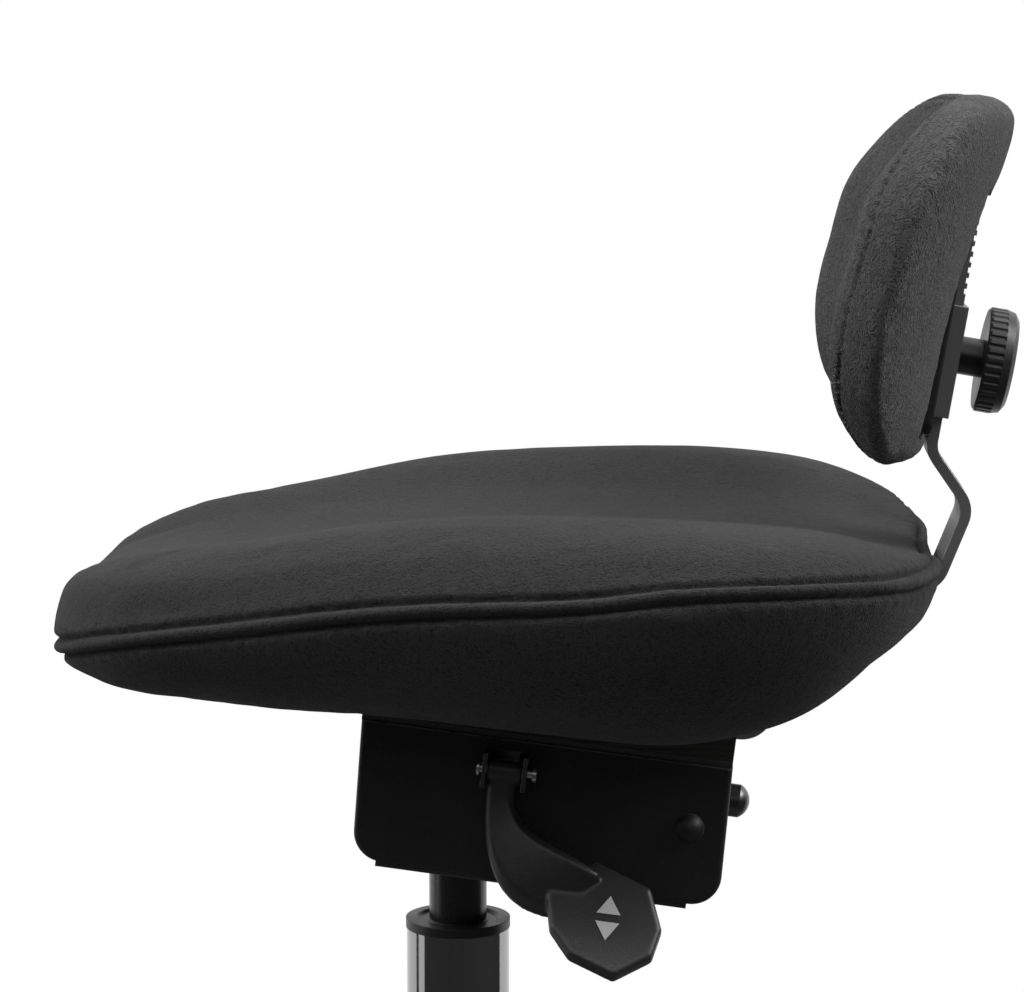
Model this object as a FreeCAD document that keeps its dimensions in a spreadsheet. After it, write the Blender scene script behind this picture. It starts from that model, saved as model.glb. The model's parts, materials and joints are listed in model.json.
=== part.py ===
import FreeCAD, Part
import Sketcher
import math
import os
import re

Vector = FreeCAD.Vector
Rotation = FreeCAD.Rotation
Placement = FreeCAD.Placement

# An ergonomic swivel stool: five-star base on castors, gas lift, tilting housing with a side lever,
# upholstered seat and a small lumbar rest on a flat steel bar.
# World frame: floor at z = 0, lift axis on z, front of the seat towards -x, +z up.
# Seat frame: origin frame_back behind the lift's axis and frame_rise above its shoulder, axis_rise below
# the tilt axis, x to the rear along the seat plate, leaned back by rest_tilt.

lengths = {
    # clearances
    "running_gap": 0.05,
    "seat_gap": 0.1,
    "body_gap": 0.3,
    "overrun": 1.0,
    # column and its guide bush
    "column_radius": 25.0,
    "column_wall": 1.5,
    "column_top": 300.0,
    "column_foot": 66.0,
    "column_floor": 3.0,
    "bush_depth": 78.0,
    "bush_flange": 4.5,
    "bush_brim": 0.4,
    "bush_groove": 1.2,
    # gas lift
    "lift_radius": 14.0,
    "lift_wall": 2.0,
    "lift_rise": 38.0,
    "cone_rise": 45.0,
    "cone_narrowing": 1.1,
    "lift_cap": 6.0,
    "valve_radius": 4.0,
    "valve_stand": 8.5,
    "valve_depth": 12.0,
    "valve_play": 5.5,
    "rod_radius": 5.0,
    "piston_height": 9.0,
    "race_thickness": 2.0,
    "race_radius": 11.0,
    "ball_radius": 1.5,
    "rod_collar": 4.0,
    "buffer_height": 12.0,
    "clip_thickness": 1.5,
    "clip_radius": 8.5,
    # five-star base
    "hub_radius": 37.0,
    "hub_top": 130.0,
    "hub_floor": 62.0,
    "hub_draft": 5.0,
    "ledge_width": 6.0,
    "base_reach": 300.0,
    "arm_root_width": 46.0,
    "arm_tip_width": 27.0,
    "arm_root_top": 124.0,
    "arm_middle_top": 104.0,
    "arm_tip_top": 82.0,
    "arm_foot": 61.0,
    "arm_middle_foot": 66.0,
    "arm_wall": 3.5,
    "socket_radius": 13.0,
    # castors
    "wheel_radius": 25.0,
    "wheel_width": 16.0,
    "wheel_round": 3.0,
    "wheel_dish": 3.0,
    "web_thickness": 10.0,
    "wheel_gap": 0.6,
    "castor_trail": 20.0,
    "axle_radius": 4.0,
    "hood_gap": 2.0,
    "hood_wall": 2.5,
    "stem_radius": 5.5,
    "stem_height": 20.0,
    # tilt axis and the block that turns on it
    "frame_back": 12.0,
    "frame_rise": 10.0,
    "axis_rise": 12.0,
    "boss_radius": 21.0,
    "trunnion_radius": 10.0,
    "trunnion_reach": 36.0,
    "pin_radius": 6.0,
    "pin_length": 11.0,
    "bearing_wall": 2.5,
    # housing under the seat
    "housing_front": 57.0,
    "housing_rear": 114.3,
    "housing_width": 150.0,
    "housing_floor": 4.0,
    "housing_top": 62.0,
    "housing_wall": 3.0,
    "housing_lean": 2.0,
    "housing_round": 14.0,
    "floor_plate": 2.5,
    "floor_plate_inset": 13.0,
    "mouth_front": 40.0,
    "mouth_rear": 17.0,
    "mouth_width": 76.0,
    "cheek_spread": 38.0,
    "cheek_thickness": 4.0,
    "cheek_front": 51.0,
    "cheek_rear": 106.0,
    "stop_radius": 4.0,
    "sleeve_wall": 3.0,
    "stop_height": 17.0,
    "tie_radius": 4.0,
    "tie_back": 98.0,
    "tie_height": 32.0,
    "tie_head": 7.0,
    "dome_height": 5.0,
    "tension_height": 31.0,
    "tension_radius": 4.0,
    "tension_head": 8.0,
    "tension_reach": 12.0,
    # seat plate and board
    "plate_thickness": 3.0,
    "board_thickness": 12.0,
    "board_front": 58.0,
    "board_rear": 114.0,
    "board_inset": 1.0,
    "bolt_radius": 4.0,
    "bolt_head_radius": 6.5,
    "bolt_head": 4.5,
    "bolt_front": 35.0,
    "bolt_rear": 88.0,
    # seat cushion
    "seat_front": 212.0,
    "seat_rear": 196.0,
    "seat_half_width": 206.0,
    "seat_crest": 188.0,
    "ridge_half": 4.5,
    "groove_depth": 4.0,
    "channel_half": 25.0,
    # back bar
    "bar_thickness": 5.0,
    "bar_width": 40.0,
    "bar_line": 178.0,
    "bar_top": 348.0,
    "bar_bend": 13.0,
    "bar_knee_top": 221.0,
    "bar_knee_back": 22.5,
    "bar_knee_height": 198.0,
    "bar_tuck_back": 193.0,
    "bar_tuck_height": 163.0,
    "bar_slope_back": 141.0,
    "bar_slope_height": 100.0,
    "bar_entry_back": 124.0,
    "bar_tail": 30.0,
    "tooth_pitch": 5.0,
    "tooth_depth": 1.0,
    "tooth_first": 296.0,
    "bar_travel": 24.0,
    # backrest bracket and knob
    "slide_gap": 0.2,
    "bracket_foot": 238.0,
    "bracket_height": 52.5,
    "bracket_wall": 2.0,
    "bracket_side": 6.0,
    "knob_rise": 28.4,
    "knob_radius": 24.8,
    "knob_neck_radius": 9.0,
    "knob_neck": 11.5,
    "knob_grip": 8.3,
    "knob_cap": 6.0,
    "knob_round": 4.0,
    "rib_radius": 1.3,
    "screw_radius": 4.0,
    # backrest pad
    "pad_foot": 218.0,
    "pad_height": 168.5,
    "pad_back": 177.0,
    "pad_half_width": 160.0,
    "pad_thickness": 38.0,
    "pad_wrap": 26.0,
    "pad_board_half": 62.0,
    "pad_board_foot": 232.0,
    "pad_board_height": 110.0,
    "pad_board_thickness": 6.0,
    # lever
    "lever_back": 11.0,
    "lever_height": 49.0,
    "lever_reach": 8.0,
    "lever_boss_radius": 5.0,
    "lever_boss_half": 8.0,
    "lever_pin_radius": 2.4,
    "ear_thickness": 2.0,
    "ear_plate": 2.0,
    "ear_half_height": 8.0,
    "finger_half_width": 6.5,
    "finger_thickness": 6.0,
    "finger_tip": 6.0,
    "finger_lead": 26.5,
    "finger_neck": 50.0,
    "window_margin": 1.5,
    "paddle_span": 56.0,
    "paddle_thickness": 9.0,
    "paddle_round": 2.5,
    "paddle_left": 35.5,
    "paddle_reach": 12.0,
    "paddle_level": 5.0,
}
angles = {"rest_tilt": 7.0, "forward_tilt": 11.7, "back_lean": 2.5, "paddle_slope": 50.0}
counts = {"arm_count": 5, "ball_count": 6, "rib_count": 36, "tooth_count": 10}
shares = {"hub_start_share": 0.4, "arm_crown_share": 0.16, "arm_middle_share": 0.52, "arm_brow_share": 0.5}

doc = FreeCAD.newDocument("stool")
sizes = doc.addObject("Spreadsheet::Sheet", "sizes")
row = 0
for table in (lengths, angles, counts, shares):
    for name, number in table.items():
        row += 1
        sizes.set(f"A{row}", name)
        sizes.set(f"B{row}", str(number))
        sizes.setAlias(f"B{row}", name)
doc.recompute()


def size(name):
    return float(sizes.get(name))


def bind(thing, formulas):
    """Ties properties to the sheet; a word of four letters or more in a formula is a size's name."""
    for path, formula in formulas.items():
        if formula:
            thing.setExpression(path, re.sub(r"[a-z_]{4,}", r"sizes.\g<0>", formula))


TURNS = {"x": Rotation(Vector(0, 1, 0), 90), "y": Rotation(Vector(1, 0, 0), -90), "z": Rotation()}


def spot(x, y, z):
    return {"Placement.Base.x": x, "Placement.Base.y": y, "Placement.Base.z": z}


def box(name, long, wide, tall, x="", y="", z=""):
    solid = doc.addObject("Part::Box", name)
    bind(solid, {"Length": long, "Width": wide, "Height": tall, **spot(x, y, z)})
    return solid


def rod(name, radius, long, x="", y="", z="", along="z"):
    solid = doc.addObject("Part::Cylinder", name)
    solid.Placement = Placement(Vector(), TURNS[along])
    bind(solid, {"Radius": radius, "Height": long, **spot(x, y, z)})
    return solid


def cone(name, low, high, long, x="", y="", z="", along="z"):
    solid = doc.addObject("Part::Cone", name)
    solid.Placement = Placement(Vector(), TURNS[along])
    bind(solid, {"Radius1": low, "Radius2": high, "Height": long, **spot(x, y, z)})
    return solid


def ball(name, radius, x="", y="", z=""):
    solid = doc.addObject("Part::Sphere", name)
    bind(solid, {"Radius": radius, **spot(x, y, z)})
    return solid


def join(name, *parts):
    thing = doc.addObject("Part::MultiFuse", name)
    thing.Shapes = list(parts)
    return thing


def group(name, *parts):
    thing = doc.addObject("Part::Compound", name)
    thing.Links = list(parts)
    return thing


def cut(name, base, *tools):
    thing = doc.addObject("Part::Cut", name)
    thing.Base = base
    thing.Tool = tools[0] if len(tools) == 1 else join(name + "_tools", *tools)
    return thing


def common(name, one, other):
    thing = doc.addObject("Part::Common", name)
    thing.Base = one
    thing.Tool = other
    return thing


def shaped(name, shape):
    thing = doc.addObject("Part::Feature", name)
    thing.Shape = shape
    return thing


def outline(body, plane, corners):
    """A closed sketch of straight runs; each corner's two distances are bound to the sheet."""
    sheet_plane = [f for f in body.Origin.OriginFeatures if f.Role == plane][0]
    sketch = body.newObject("Sketcher::SketchObject", body.Name + "_outline")
    sketch.AttachmentSupport = [(sheet_plane, "")]
    sketch.MapMode = "FlatFace"
    turn = 2 * math.pi / len(corners)
    start = [Vector(math.cos(turn * i), math.sin(turn * i), 0) for i in range(len(corners))]
    for i in range(len(corners)):
        sketch.addGeometry(Part.LineSegment(start[i], start[(i + 1) % len(corners)]), False)
    for i in range(len(corners)):
        sketch.addConstraint(Sketcher.Constraint("Coincident", i, 2, (i + 1) % len(corners), 1))
    for i, (across, along) in enumerate(corners):
        for kind, formula, guess in (("DistanceX", across, start[i].x), ("DistanceY", along, start[i].y)):
            label = f"{kind[-1].lower()}_{i}"
            index = sketch.addConstraint(Sketcher.Constraint(kind, -1, 1, i, 1, guess))
            sketch.renameConstraint(index, label)
            bind(sketch, {"Constraints." + label: formula or "0"})
    return sketch


def new_body(name):
    return doc.addObject("PartDesign::Body", name)


def revolved(name, corners, axis="V_Axis"):
    """A turned piece: corners are (radius, height), or (length, radius) about the H_Axis."""
    body = new_body(name)
    sketch = outline(body, "XZ_Plane", corners)
    turn = body.newObject("PartDesign::Revolution", name + "_turn")
    turn.Profile = sketch
    turn.ReferenceAxis = (sketch, [axis])
    turn.Angle = 360
    return body


def padded_plate(name, plane, corners, thick, middle=True):
    """A plate or block: an outline drawn out by thick, to both sides when middle is true."""
    body = new_body(name)
    sketch = outline(body, plane, corners)
    pad = body.newObject("PartDesign::Pad", name + "_pad")
    pad.Profile = sketch
    pad.Midplane = middle
    bind(pad, {"Length": thick})
    return body


def pocket(body, plane, corners, deep):
    sketch = outline(body, plane, corners)
    cutter = body.newObject("PartDesign::Pocket", body.Name + "_pocket")
    cutter.Profile = sketch
    cutter.Midplane = True
    bind(cutter, {"Length": deep})
    return cutter


def rounded_edges(body, chosen, radius):
    """Fillets the edges of the body's last feature that chosen(edge) picks."""
    doc.recompute()
    base = body.Tip
    names = [f"Edge{i}" for i, edge in enumerate(base.Shape.Edges, 1) if chosen(edge)]
    fillet = body.newObject("PartDesign::Fillet", body.Name + "_fillet")
    fillet.Base = (base, names)
    bind(fillet, {"Radius": radius})
    return fillet


def runs_along(edge, direction):
    ends = [v.Point for v in edge.Vertexes]
    if len(ends) < 2 or edge.Curve.TypeId != "Part::GeomLine":
        return False
    return abs((ends[1] - ends[0]).normalize().dot(direction)) > 0.999


nodes = {}
SINGLE = ("Part::Box", "Part::Cylinder", "Part::Cone", "Part::Sphere")


def keep(name, thing):
    """Registers a finished piece of the world frame under its node's name."""
    thing.Label = name
    nodes[name] = thing
    return thing


FRAME_LEVEL = "(column_top + lift_rise + frame_rise)"


def seated(name, thing, lean="rest_tilt"):
    """Registers a piece drawn in the seat frame and leans it back with the seat."""
    if thing.TypeId in SINGLE:
        thing = group(name + "_set", thing)
    thing.Placement = Placement(Vector(), Rotation(Vector(0, 1, 0), size("rest_tilt")))
    bind(thing, {**spot("frame_back", "", FRAME_LEVEL), "Placement.Rotation.Angle": lean})
    return keep(name, thing)


def backed(name, thing):
    """Registers a piece drawn along the upright run of the back bar, which leans by back_lean more."""
    return seated(name, thing, "rest_tilt + back_lean")


def path_edges(points, radii):
    """An open run of lines, its inner corners rounded by tangent arcs of the given radii."""
    edges = []
    last = points[0]
    for before, here, after, radius in zip(points, points[1:], points[2:], radii):
        back = (before - here).normalize()
        on = (after - here).normalize()
        half = back.getAngle(on) / 2
        reach = radius / math.tan(half)
        enter = here + back * reach
        leave = here + on * reach
        centre = here + (back + on).normalize() * (radius / math.sin(half))
        middle = centre + (here - centre).normalize() * radius
        edges.append(Part.LineSegment(last, enter).toShape())
        edges.append(Part.Arc(enter, middle, leave).toShape())
        last = leave
    edges.append(Part.LineSegment(last, points[-1]).toShape())
    return edges


def shifted(points, offset):
    """The corners of a run in the xz plane, moved sideways by offset."""
    normals = []
    for one, two in zip(points, points[1:]):
        along = (two - one).normalize()
        normals.append(Vector(-along.z, 0, along.x))
    moved = [points[0] + normals[0] * offset]
    for here, one, two in zip(points[1:], normals, normals[1:]):
        moved.append(here + (one + two) * (offset / (1 + one.dot(two))))
    return moved + [points[-1] + normals[-1] * offset]


def strip(points, radius, low, high, half_width):
    """A flat strip bent along points, from offset low to offset high, as wide as two half_widths."""
    radii_low, radii_high = [], []
    for before, here, after in zip(points, points[1:], points[2:]):
        turn = (here - before).cross(after - here).y
        side = 1 if turn > 0 else -1
        radii_low.append(radius + side * low)
        radii_high.append(radius + side * high)
    near = path_edges(shifted(points, low), radii_low)
    far = path_edges(shifted(points, high), radii_high)
    start = Part.LineSegment(near[0].Vertexes[0].Point, far[0].Vertexes[0].Point).toShape()
    end = Part.LineSegment(near[-1].Vertexes[-1].Point, far[-1].Vertexes[-1].Point).toShape()
    face = Part.Face(Part.Wire(Part.__sortEdges__(near + far + [start, end])))
    face.translate(Vector(0, -half_width, 0))
    return face.extrude(Vector(0, 2 * half_width, 0))


# Column, guide bush and gas lift

keep("column_tube", revolved("column_tube", [
    ("rod_radius + body_gap", "column_foot"),
    ("column_radius", "column_foot"),
    ("column_radius", "column_top"),
    ("column_radius - column_wall", "column_top"),
    ("column_radius - column_wall", "column_foot + column_floor"),
    ("rod_radius + body_gap", "column_foot + column_floor"),
]))
keep("guide_bush", revolved("guide_bush", [
    ("lift_radius + running_gap", "column_top - bush_depth"),
    ("column_radius - column_wall - seat_gap", "column_top - bush_depth"),
    ("column_radius - column_wall - seat_gap", "column_top"),
    ("column_radius + bush_brim", "column_top"),
    ("column_radius + bush_brim", "column_top + bush_flange"),
    ("column_radius - bush_flange", "column_top + bush_flange"),
    ("column_radius - bush_flange - bush_groove", "column_top + bush_flange - bush_groove"),
    ("lift_radius + bush_groove + running_gap", "column_top + bush_flange - bush_groove"),
    ("lift_radius + running_gap", "column_top + bush_flange"),
]))
lift_foot = ("column_foot + column_floor + race_thickness * 2 + ball_radius * 2 + rod_collar"
             " + buffer_height + body_gap")
keep("gas_cylinder", revolved("gas_cylinder", [
    ("rod_radius + seat_gap", lift_foot),
    ("lift_radius", lift_foot),
    ("lift_radius", "column_top + lift_rise"),
    ("lift_radius - cone_narrowing", "column_top + lift_rise + cone_rise"),
    ("valve_radius + seat_gap", "column_top + lift_rise + cone_rise"),
    ("valve_radius + seat_gap", "column_top + lift_rise + cone_rise - valve_depth - body_gap"),
    ("lift_wall", "column_top + lift_rise + cone_rise - valve_depth - body_gap"),
    ("lift_wall", "column_top + lift_rise - lift_cap"),
    ("lift_radius - lift_wall", "column_top + lift_rise - lift_cap"),
    ("lift_radius - lift_wall", lift_foot + " + buffer_height"),
    ("rod_radius + seat_gap", lift_foot + " + buffer_height"),
]))
keep("valve_pin", group("valve_pin", rod(
    "valve_stem", "valve_radius", "valve_stand + valve_depth - valve_play",
    z="column_top + lift_rise + cone_rise - valve_depth + valve_play")))
keep("piston_rod", join(
    "piston_rod",
    rod("rod_shaft", "rod_radius", "column_top + lift_rise - lift_cap - overrun - column_foot + clip_radius",
        z="column_foot - clip_radius"),
    rod("rod_piston", "lift_radius - lift_wall - seat_gap", "piston_height",
        z="column_top + lift_rise - lift_cap - overrun - piston_height"),
    rod("rod_shoulder", "race_radius - overrun", "rod_collar",
        z="column_foot + column_floor + race_thickness * 2 + ball_radius * 2"),
))


def washer(name, inner, outer, thick, z):
    return cut(name, rod(name + "_disc", outer, thick, z=z),
               rod(name + "_hole", inner, thick + " + overrun * 2", z=z + " - overrun"))


keep("buffer_ring", washer("buffer_ring", "rod_radius + seat_gap", "race_radius", "buffer_height - seat_gap",
     "column_foot + column_floor + race_thickness * 2 + ball_radius * 2 + rod_collar + seat_gap"))
keep("lower_race", washer("lower_race", "rod_radius + body_gap", "race_radius", "race_thickness",
     "column_foot + column_floor"))
keep("upper_race", washer("upper_race", "rod_radius + seat_gap", "race_radius", "race_thickness - seat_gap",
     "column_foot + column_floor + race_thickness + ball_radius * 2"))
keep("retaining_clip", washer("retaining_clip", "rod_radius + seat_gap", "clip_radius", "clip_thickness",
     "column_foot - body_gap - clip_thickness"))
balls = []
for i in range(int(size("ball_count"))):
    bearing_ball = ball(f"bearing_ball_{i}", "ball_radius - running_gap")
    turn = 360 * i / size("ball_count")
    bind(bearing_ball, spot(f"(rod_radius + race_radius) / 2 * cos({turn})",
                            f"(rod_radius + race_radius) / 2 * sin({turn})",
                            "column_foot + column_floor + race_thickness + ball_radius"))
    balls.append(bearing_ball)
keep("bearing_balls", group("bearing_balls", *balls))

# Five-star base


def arm_section(back, width, low, high, wall):
    """One section of an arm with a bevelled crown; wall thins it on both sides and on top."""
    half = width / 2 - wall
    crown = width * size("arm_crown_share")
    top = high - wall
    foot = low - (size("overrun") if wall else 0)
    brow = half * size("arm_brow_share")
    corners = [Vector(back, y, z) for y, z in (
        (-half, top - crown), (-half, foot), (half, foot), (half, top - crown), (brow, top), (-brow, top),
    )]
    return Part.makePolygon(corners + corners[:1])


def arm_solid(wall):
    reach = size("base_reach")
    middle = size("arm_middle_share")
    width = size("arm_root_width") + (size("arm_tip_width") - size("arm_root_width")) * middle
    start = size("hub_radius") * size("hub_start_share")
    stations = [
        (start + wall, size("arm_root_width"), size("arm_foot"), size("arm_root_top")),
        (reach * middle, width, size("arm_middle_foot"), size("arm_middle_top")),
        (reach - wall, size("arm_tip_width"), size("arm_foot"), size("arm_tip_top")),
    ]
    return Part.makeLoft([arm_section(*station, wall) for station in stations], True, True)


def turned_copies(shape):
    """One copy of a shape for each arm, turned about the column."""
    copies = []
    for i in range(int(size("arm_count"))):
        copy = shape.copy()
        copy.rotate(Vector(), Vector(0, 0, 1), 360 * i / size("arm_count"))
        copies.append(copy)
    return copies


def base_star_shape():
    reach = size("base_reach")
    gap = size("body_gap")
    hub_height = size("hub_top") - size("hub_floor")
    hub = Part.makeCone(size("hub_radius"), size("hub_radius") - size("hub_draft"), hub_height,
                        Vector(0, 0, size("hub_floor")))
    brim = size("hub_radius") - size("hub_draft")
    lip = Part.makeCone(brim, brim - size("arm_wall"), size("arm_wall"), Vector(0, 0, size("hub_top")))
    hollow = arm_solid(size("arm_wall"))
    clear = Part.makeCylinder(size("hub_radius") - size("arm_wall"), hub_height * 2, Vector(0, 0, 0))
    hollow = hollow.cut(clear)
    tip = Part.makeCylinder(size("socket_radius"), size("arm_tip_top") - size("arm_foot"),
                            Vector(reach, 0, size("arm_foot")))
    arms = turned_copies(arm_solid(0))
    tips = turned_copies(tip)
    star = hub.fuse([lip] + arms)
    star = star.cut(turned_copies(hollow)).fuse(tips)
    stem = Part.makeCylinder(size("stem_radius") + size("running_gap"), size("stem_height") + gap,
                             Vector(reach, 0, size("arm_foot") - gap))
    ledge = size("column_radius") - size("ledge_width")
    bore = Part.makeCylinder(size("column_radius") + size("running_gap"), hub_height * 2,
                             Vector(0, 0, size("column_foot")))
    drain = Part.makeCylinder(ledge, hub_height * 2, Vector(0, 0, 0))
    return star.cut(turned_copies(stem) + [bore, drain]).removeSplitter()


keep("base_star", shaped("base_star", base_star_shape()))

# Castors


def castor_parts():
    """Fork with hood and stem, axle and twin wheels of one castor, its stem on the z axis."""
    radius = size("wheel_radius")
    trail = size("castor_trail")
    half_web = size("web_thickness") / 2
    inner = half_web + size("wheel_gap")
    outer = inner + size("wheel_width")
    hood_radius = radius + size("hood_gap") + size("hood_wall")
    top = size("arm_foot") - size("body_gap")
    side = Vector(0, 1, 0)
    centre = Vector(trail, 0, radius)

    def drum(r, low, high):
        return Part.makeCylinder(r, high - low, centre + side * low, side)

    web = drum(radius - size("wheel_round"), -half_web, half_web)
    hood = drum(hood_radius, -outer, outer).cut(drum(radius + size("hood_gap"), -outer * 2, outer * 2))
    shade = Part.makeBox(hood_radius * 2, outer * 4, hood_radius * 2,
                         centre + Vector(-hood_radius, -outer * 2, size("wheel_round")))
    bridge = Part.makeBox(hood_radius, half_web * 2, hood_radius - size("wheel_round"),
                          centre + Vector(-hood_radius / 2, -half_web, 0))
    neck = Part.makeCylinder(size("socket_radius"), top - radius, Vector(0, 0, radius))
    neck = neck.cut(drum(radius + size("hood_gap"), -outer * 2, outer * 2))
    stem = Part.makeCylinder(size("stem_radius"), size("stem_height"), Vector(0, 0, top))
    fork = web.fuse([hood.common(shade), bridge.common(drum(hood_radius, -outer, outer)), neck, stem])
    fork = fork.cut(drum(size("axle_radius") + size("running_gap"), -outer, outer)).removeSplitter()
    axle = drum(size("axle_radius"), -outer + size("wheel_dish") * 2, outer - size("wheel_dish") * 2)

    wheels = []
    for turn in (1, -1):
        ring = size("wheel_round")
        hub = size("axle_radius") + size("running_gap")
        dish = size("wheel_dish")
        profile = [
            (hub, inner), (radius - ring, inner), (radius, inner + ring), (radius, outer - ring),
            (radius - ring, outer), (radius - ring * 2, outer), (radius - ring * 3, outer - dish),
            (hub * 2, outer - dish), (hub * 2, outer - dish / 2), (hub, outer - dish / 2),
        ]
        points = [centre + Vector(0, turn * y, r) for r, y in profile]
        face = Part.Face(Part.makePolygon(points + points[:1]))
        wheels.append(face.revolve(centre, side, 360))
    return fork, axle, Part.makeCompound(wheels)


castor_pieces = dict(zip(("castor_fork", "castor_axle", "castor_wheels"), castor_parts()))
for i in range(int(size("arm_count"))):
    turn = Rotation(Vector(0, 0, 1), 360 * i / size("arm_count"))
    for piece, shape in castor_pieces.items():
        thing = shaped(f"{piece}_{i + 1}", shape)
        thing.Placement = Placement(turn.multVec(Vector(size("base_reach"), 0, 0)), turn)
        keep(f"{piece}_{i + 1}", thing)

# Tilt block on the lift's cone, upright whatever the seat does

AXIS_BACK = "(frame_back + axis_rise * sin(rest_tilt))"
AXIS_LEVEL = f"({FRAME_LEVEL} + axis_rise * cos(rest_tilt))"


def tilt_rods(name, radius):
    """The two short pins' space at the ends of the block's crossbar."""
    return [
        rod(name + "_near", radius, "pin_length * 2", AXIS_BACK, "-trunnion_reach - pin_length", AXIS_LEVEL,
            "y"),
        rod(name + "_far", radius, "pin_length * 2", AXIS_BACK, "trunnion_reach - pin_length", AXIS_LEVEL,
            "y"),
    ]


block_body = join(
    "block_body",
    rod("block_boss", "boss_radius", "cone_rise - overrun", z="column_top + lift_rise"),
    rod("block_crossbar", "trunnion_radius", "trunnion_reach * 2", AXIS_BACK, "-trunnion_reach", AXIS_LEVEL,
        "y"),
)
keep("tilt_block", cut(
    "tilt_block", block_body,
    cone("block_taper", "lift_radius + running_gap", "lift_radius + running_gap - cone_narrowing",
         "cone_rise",
         z="column_top + lift_rise"),
    *tilt_rods("block_pin_hole", "pin_radius"),
))
keep("tilt_pins", group("tilt_pins", *tilt_rods("tilt_pin", "pin_radius")))

# Housing, cheeks and stops, in the seat frame

housing = padded_plate("housing_shell", "XZ_Plane", [
    ("-housing_front + housing_lean", "-housing_floor"),
    ("housing_rear + housing_lean", "-housing_floor"),
    ("housing_rear", "housing_top"),
    ("-housing_front - housing_lean / 2", "housing_top"),
], "housing_width")
rounded_edges(housing, lambda e: runs_along(e, Vector(0, 1, 0)) and e.CenterOfMass.z < 0, "housing_round")
rounded_edges(housing, lambda e: (not runs_along(e, Vector(0, 1, 0))
                                  and abs(e.CenterOfMass.y) > size("cheek_spread")
                                  and e.CenterOfMass.z < size("housing_top") - size("overrun")),
              "housing_wall * 0.8")
pocket(housing, "XZ_Plane", [
    ("-housing_front + housing_lean + housing_wall", "-housing_floor + housing_wall"),
    ("housing_rear + housing_lean - housing_wall", "-housing_floor + housing_wall"),
    ("housing_rear - housing_wall", "housing_top + overrun"),
    ("-housing_front + housing_wall", "housing_top + overrun"),
], "housing_width - housing_wall * 2")
pocket(housing, "XY_Plane", [
    ("-mouth_front", "-mouth_width / 2"), ("mouth_rear", "-mouth_width / 2"),
    ("mouth_rear", "mouth_width / 2"), ("-mouth_front", "mouth_width / 2"),
], "housing_floor * 2 + overrun")
window = ("lever_back - finger_half_width - window_margin", "lever_back + finger_half_width + window_margin")
pocket(housing, "XZ_Plane", [
    (window[0], "lever_height - finger_thickness - window_margin"),
    (window[1], "lever_height - finger_thickness - window_margin"),
    (window[1], "lever_height + finger_thickness + window_margin"),
    (window[0], "lever_height + finger_thickness + window_margin"),
], "housing_width + overrun")
seated("housing_shell", cut(
    "housing_shell", housing,
    rod("housing_tie_hole", "tie_radius + running_gap", "housing_width * 2", "tie_back", "-housing_width",
        "tie_height", "y"),
    rod("housing_tension_hole", "tension_radius + running_gap", "tension_reach * 2",
        "housing_rear - tension_reach", "", "tension_height", "x"),
))

floor_plate = padded_plate("floor_plate", "XY_Plane", [
    ("-housing_front + floor_plate_inset", "-housing_width / 2 + housing_wall"),
    ("housing_rear - floor_plate_inset", "-housing_width / 2 + housing_wall"),
    ("housing_rear - floor_plate_inset", "housing_width / 2 - housing_wall"),
    ("-housing_front + floor_plate_inset", "housing_width / 2 - housing_wall"),
], "floor_plate")
pocket(floor_plate, "XY_Plane", [
    ("-mouth_front", "-mouth_width / 2"), ("mouth_rear", "-mouth_width / 2"),
    ("mouth_rear", "mouth_width / 2"), ("-mouth_front", "mouth_width / 2"),
], "floor_plate * 2")
floor_set = group("floor_plate_set", floor_plate)
bind(floor_plate, {"Placement.Base.z": "-housing_floor - floor_plate / 2 - seat_gap"})
seated("floor_plate", floor_set)


def cheek(name, low):
    body = padded_plate(name, "XZ_Plane", [
        ("-cheek_front", "-housing_floor + housing_wall + seat_gap"),
        ("cheek_rear", "-housing_floor + housing_wall + seat_gap"),
        ("cheek_rear", "housing_top - seat_gap"),
        ("-cheek_front", "housing_top - seat_gap"),
    ], "cheek_thickness")
    bind(body, {"Placement.Base.y": low})
    stop_back, stop_rise = stop_place("front")
    far_back, far_rise = stop_place("rear")
    reach = "cheek_thickness * 3"
    side = f"({low}) - cheek_thickness * 1.5"
    tools = [
        rod(name + "_bearing_hole", "pin_radius + bearing_wall + running_gap", reach, "", side, "axis_rise",
            "y"),
        rod(name + "_front_stop_hole", "stop_radius + running_gap", reach, stop_back, side, stop_rise, "y"),
        rod(name + "_rear_stop_hole", "stop_radius + running_gap", reach, far_back, side, far_rise, "y"),
        rod(name + "_tie_hole", "tie_radius + running_gap", reach, "tie_back", side, "tie_height", "y"),
        box(name + "_window", "finger_half_width * 2 + window_margin * 2", reach,
            "finger_thickness * 2 + window_margin * 2", window[0], side,
            "lever_height - finger_thickness - window_margin"),
    ]
    return seated(name, cut(name + "_cut", body, *tools))


def stop_place(which):
    """Where a stop bar meets the block's boss: in front at rest, behind at the forward limit."""
    reach = "(boss_radius + stop_radius + sleeve_wall + body_gap)"
    if which == "front":
        away, lean = f"(-{reach} - {AXIS_BACK})", "rest_tilt"
    else:
        away, lean = f"({reach} - {AXIS_BACK})", "(rest_tilt - forward_tilt)"
    return (f"{away} * cos({lean}) - stop_height * sin({lean})",
            f"axis_rise + {away} * sin({lean}) + stop_height * cos({lean})")


cheek("near_cheek", "-cheek_spread - cheek_thickness / 2")
cheek("far_cheek", "cheek_spread + cheek_thickness / 2")

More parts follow.
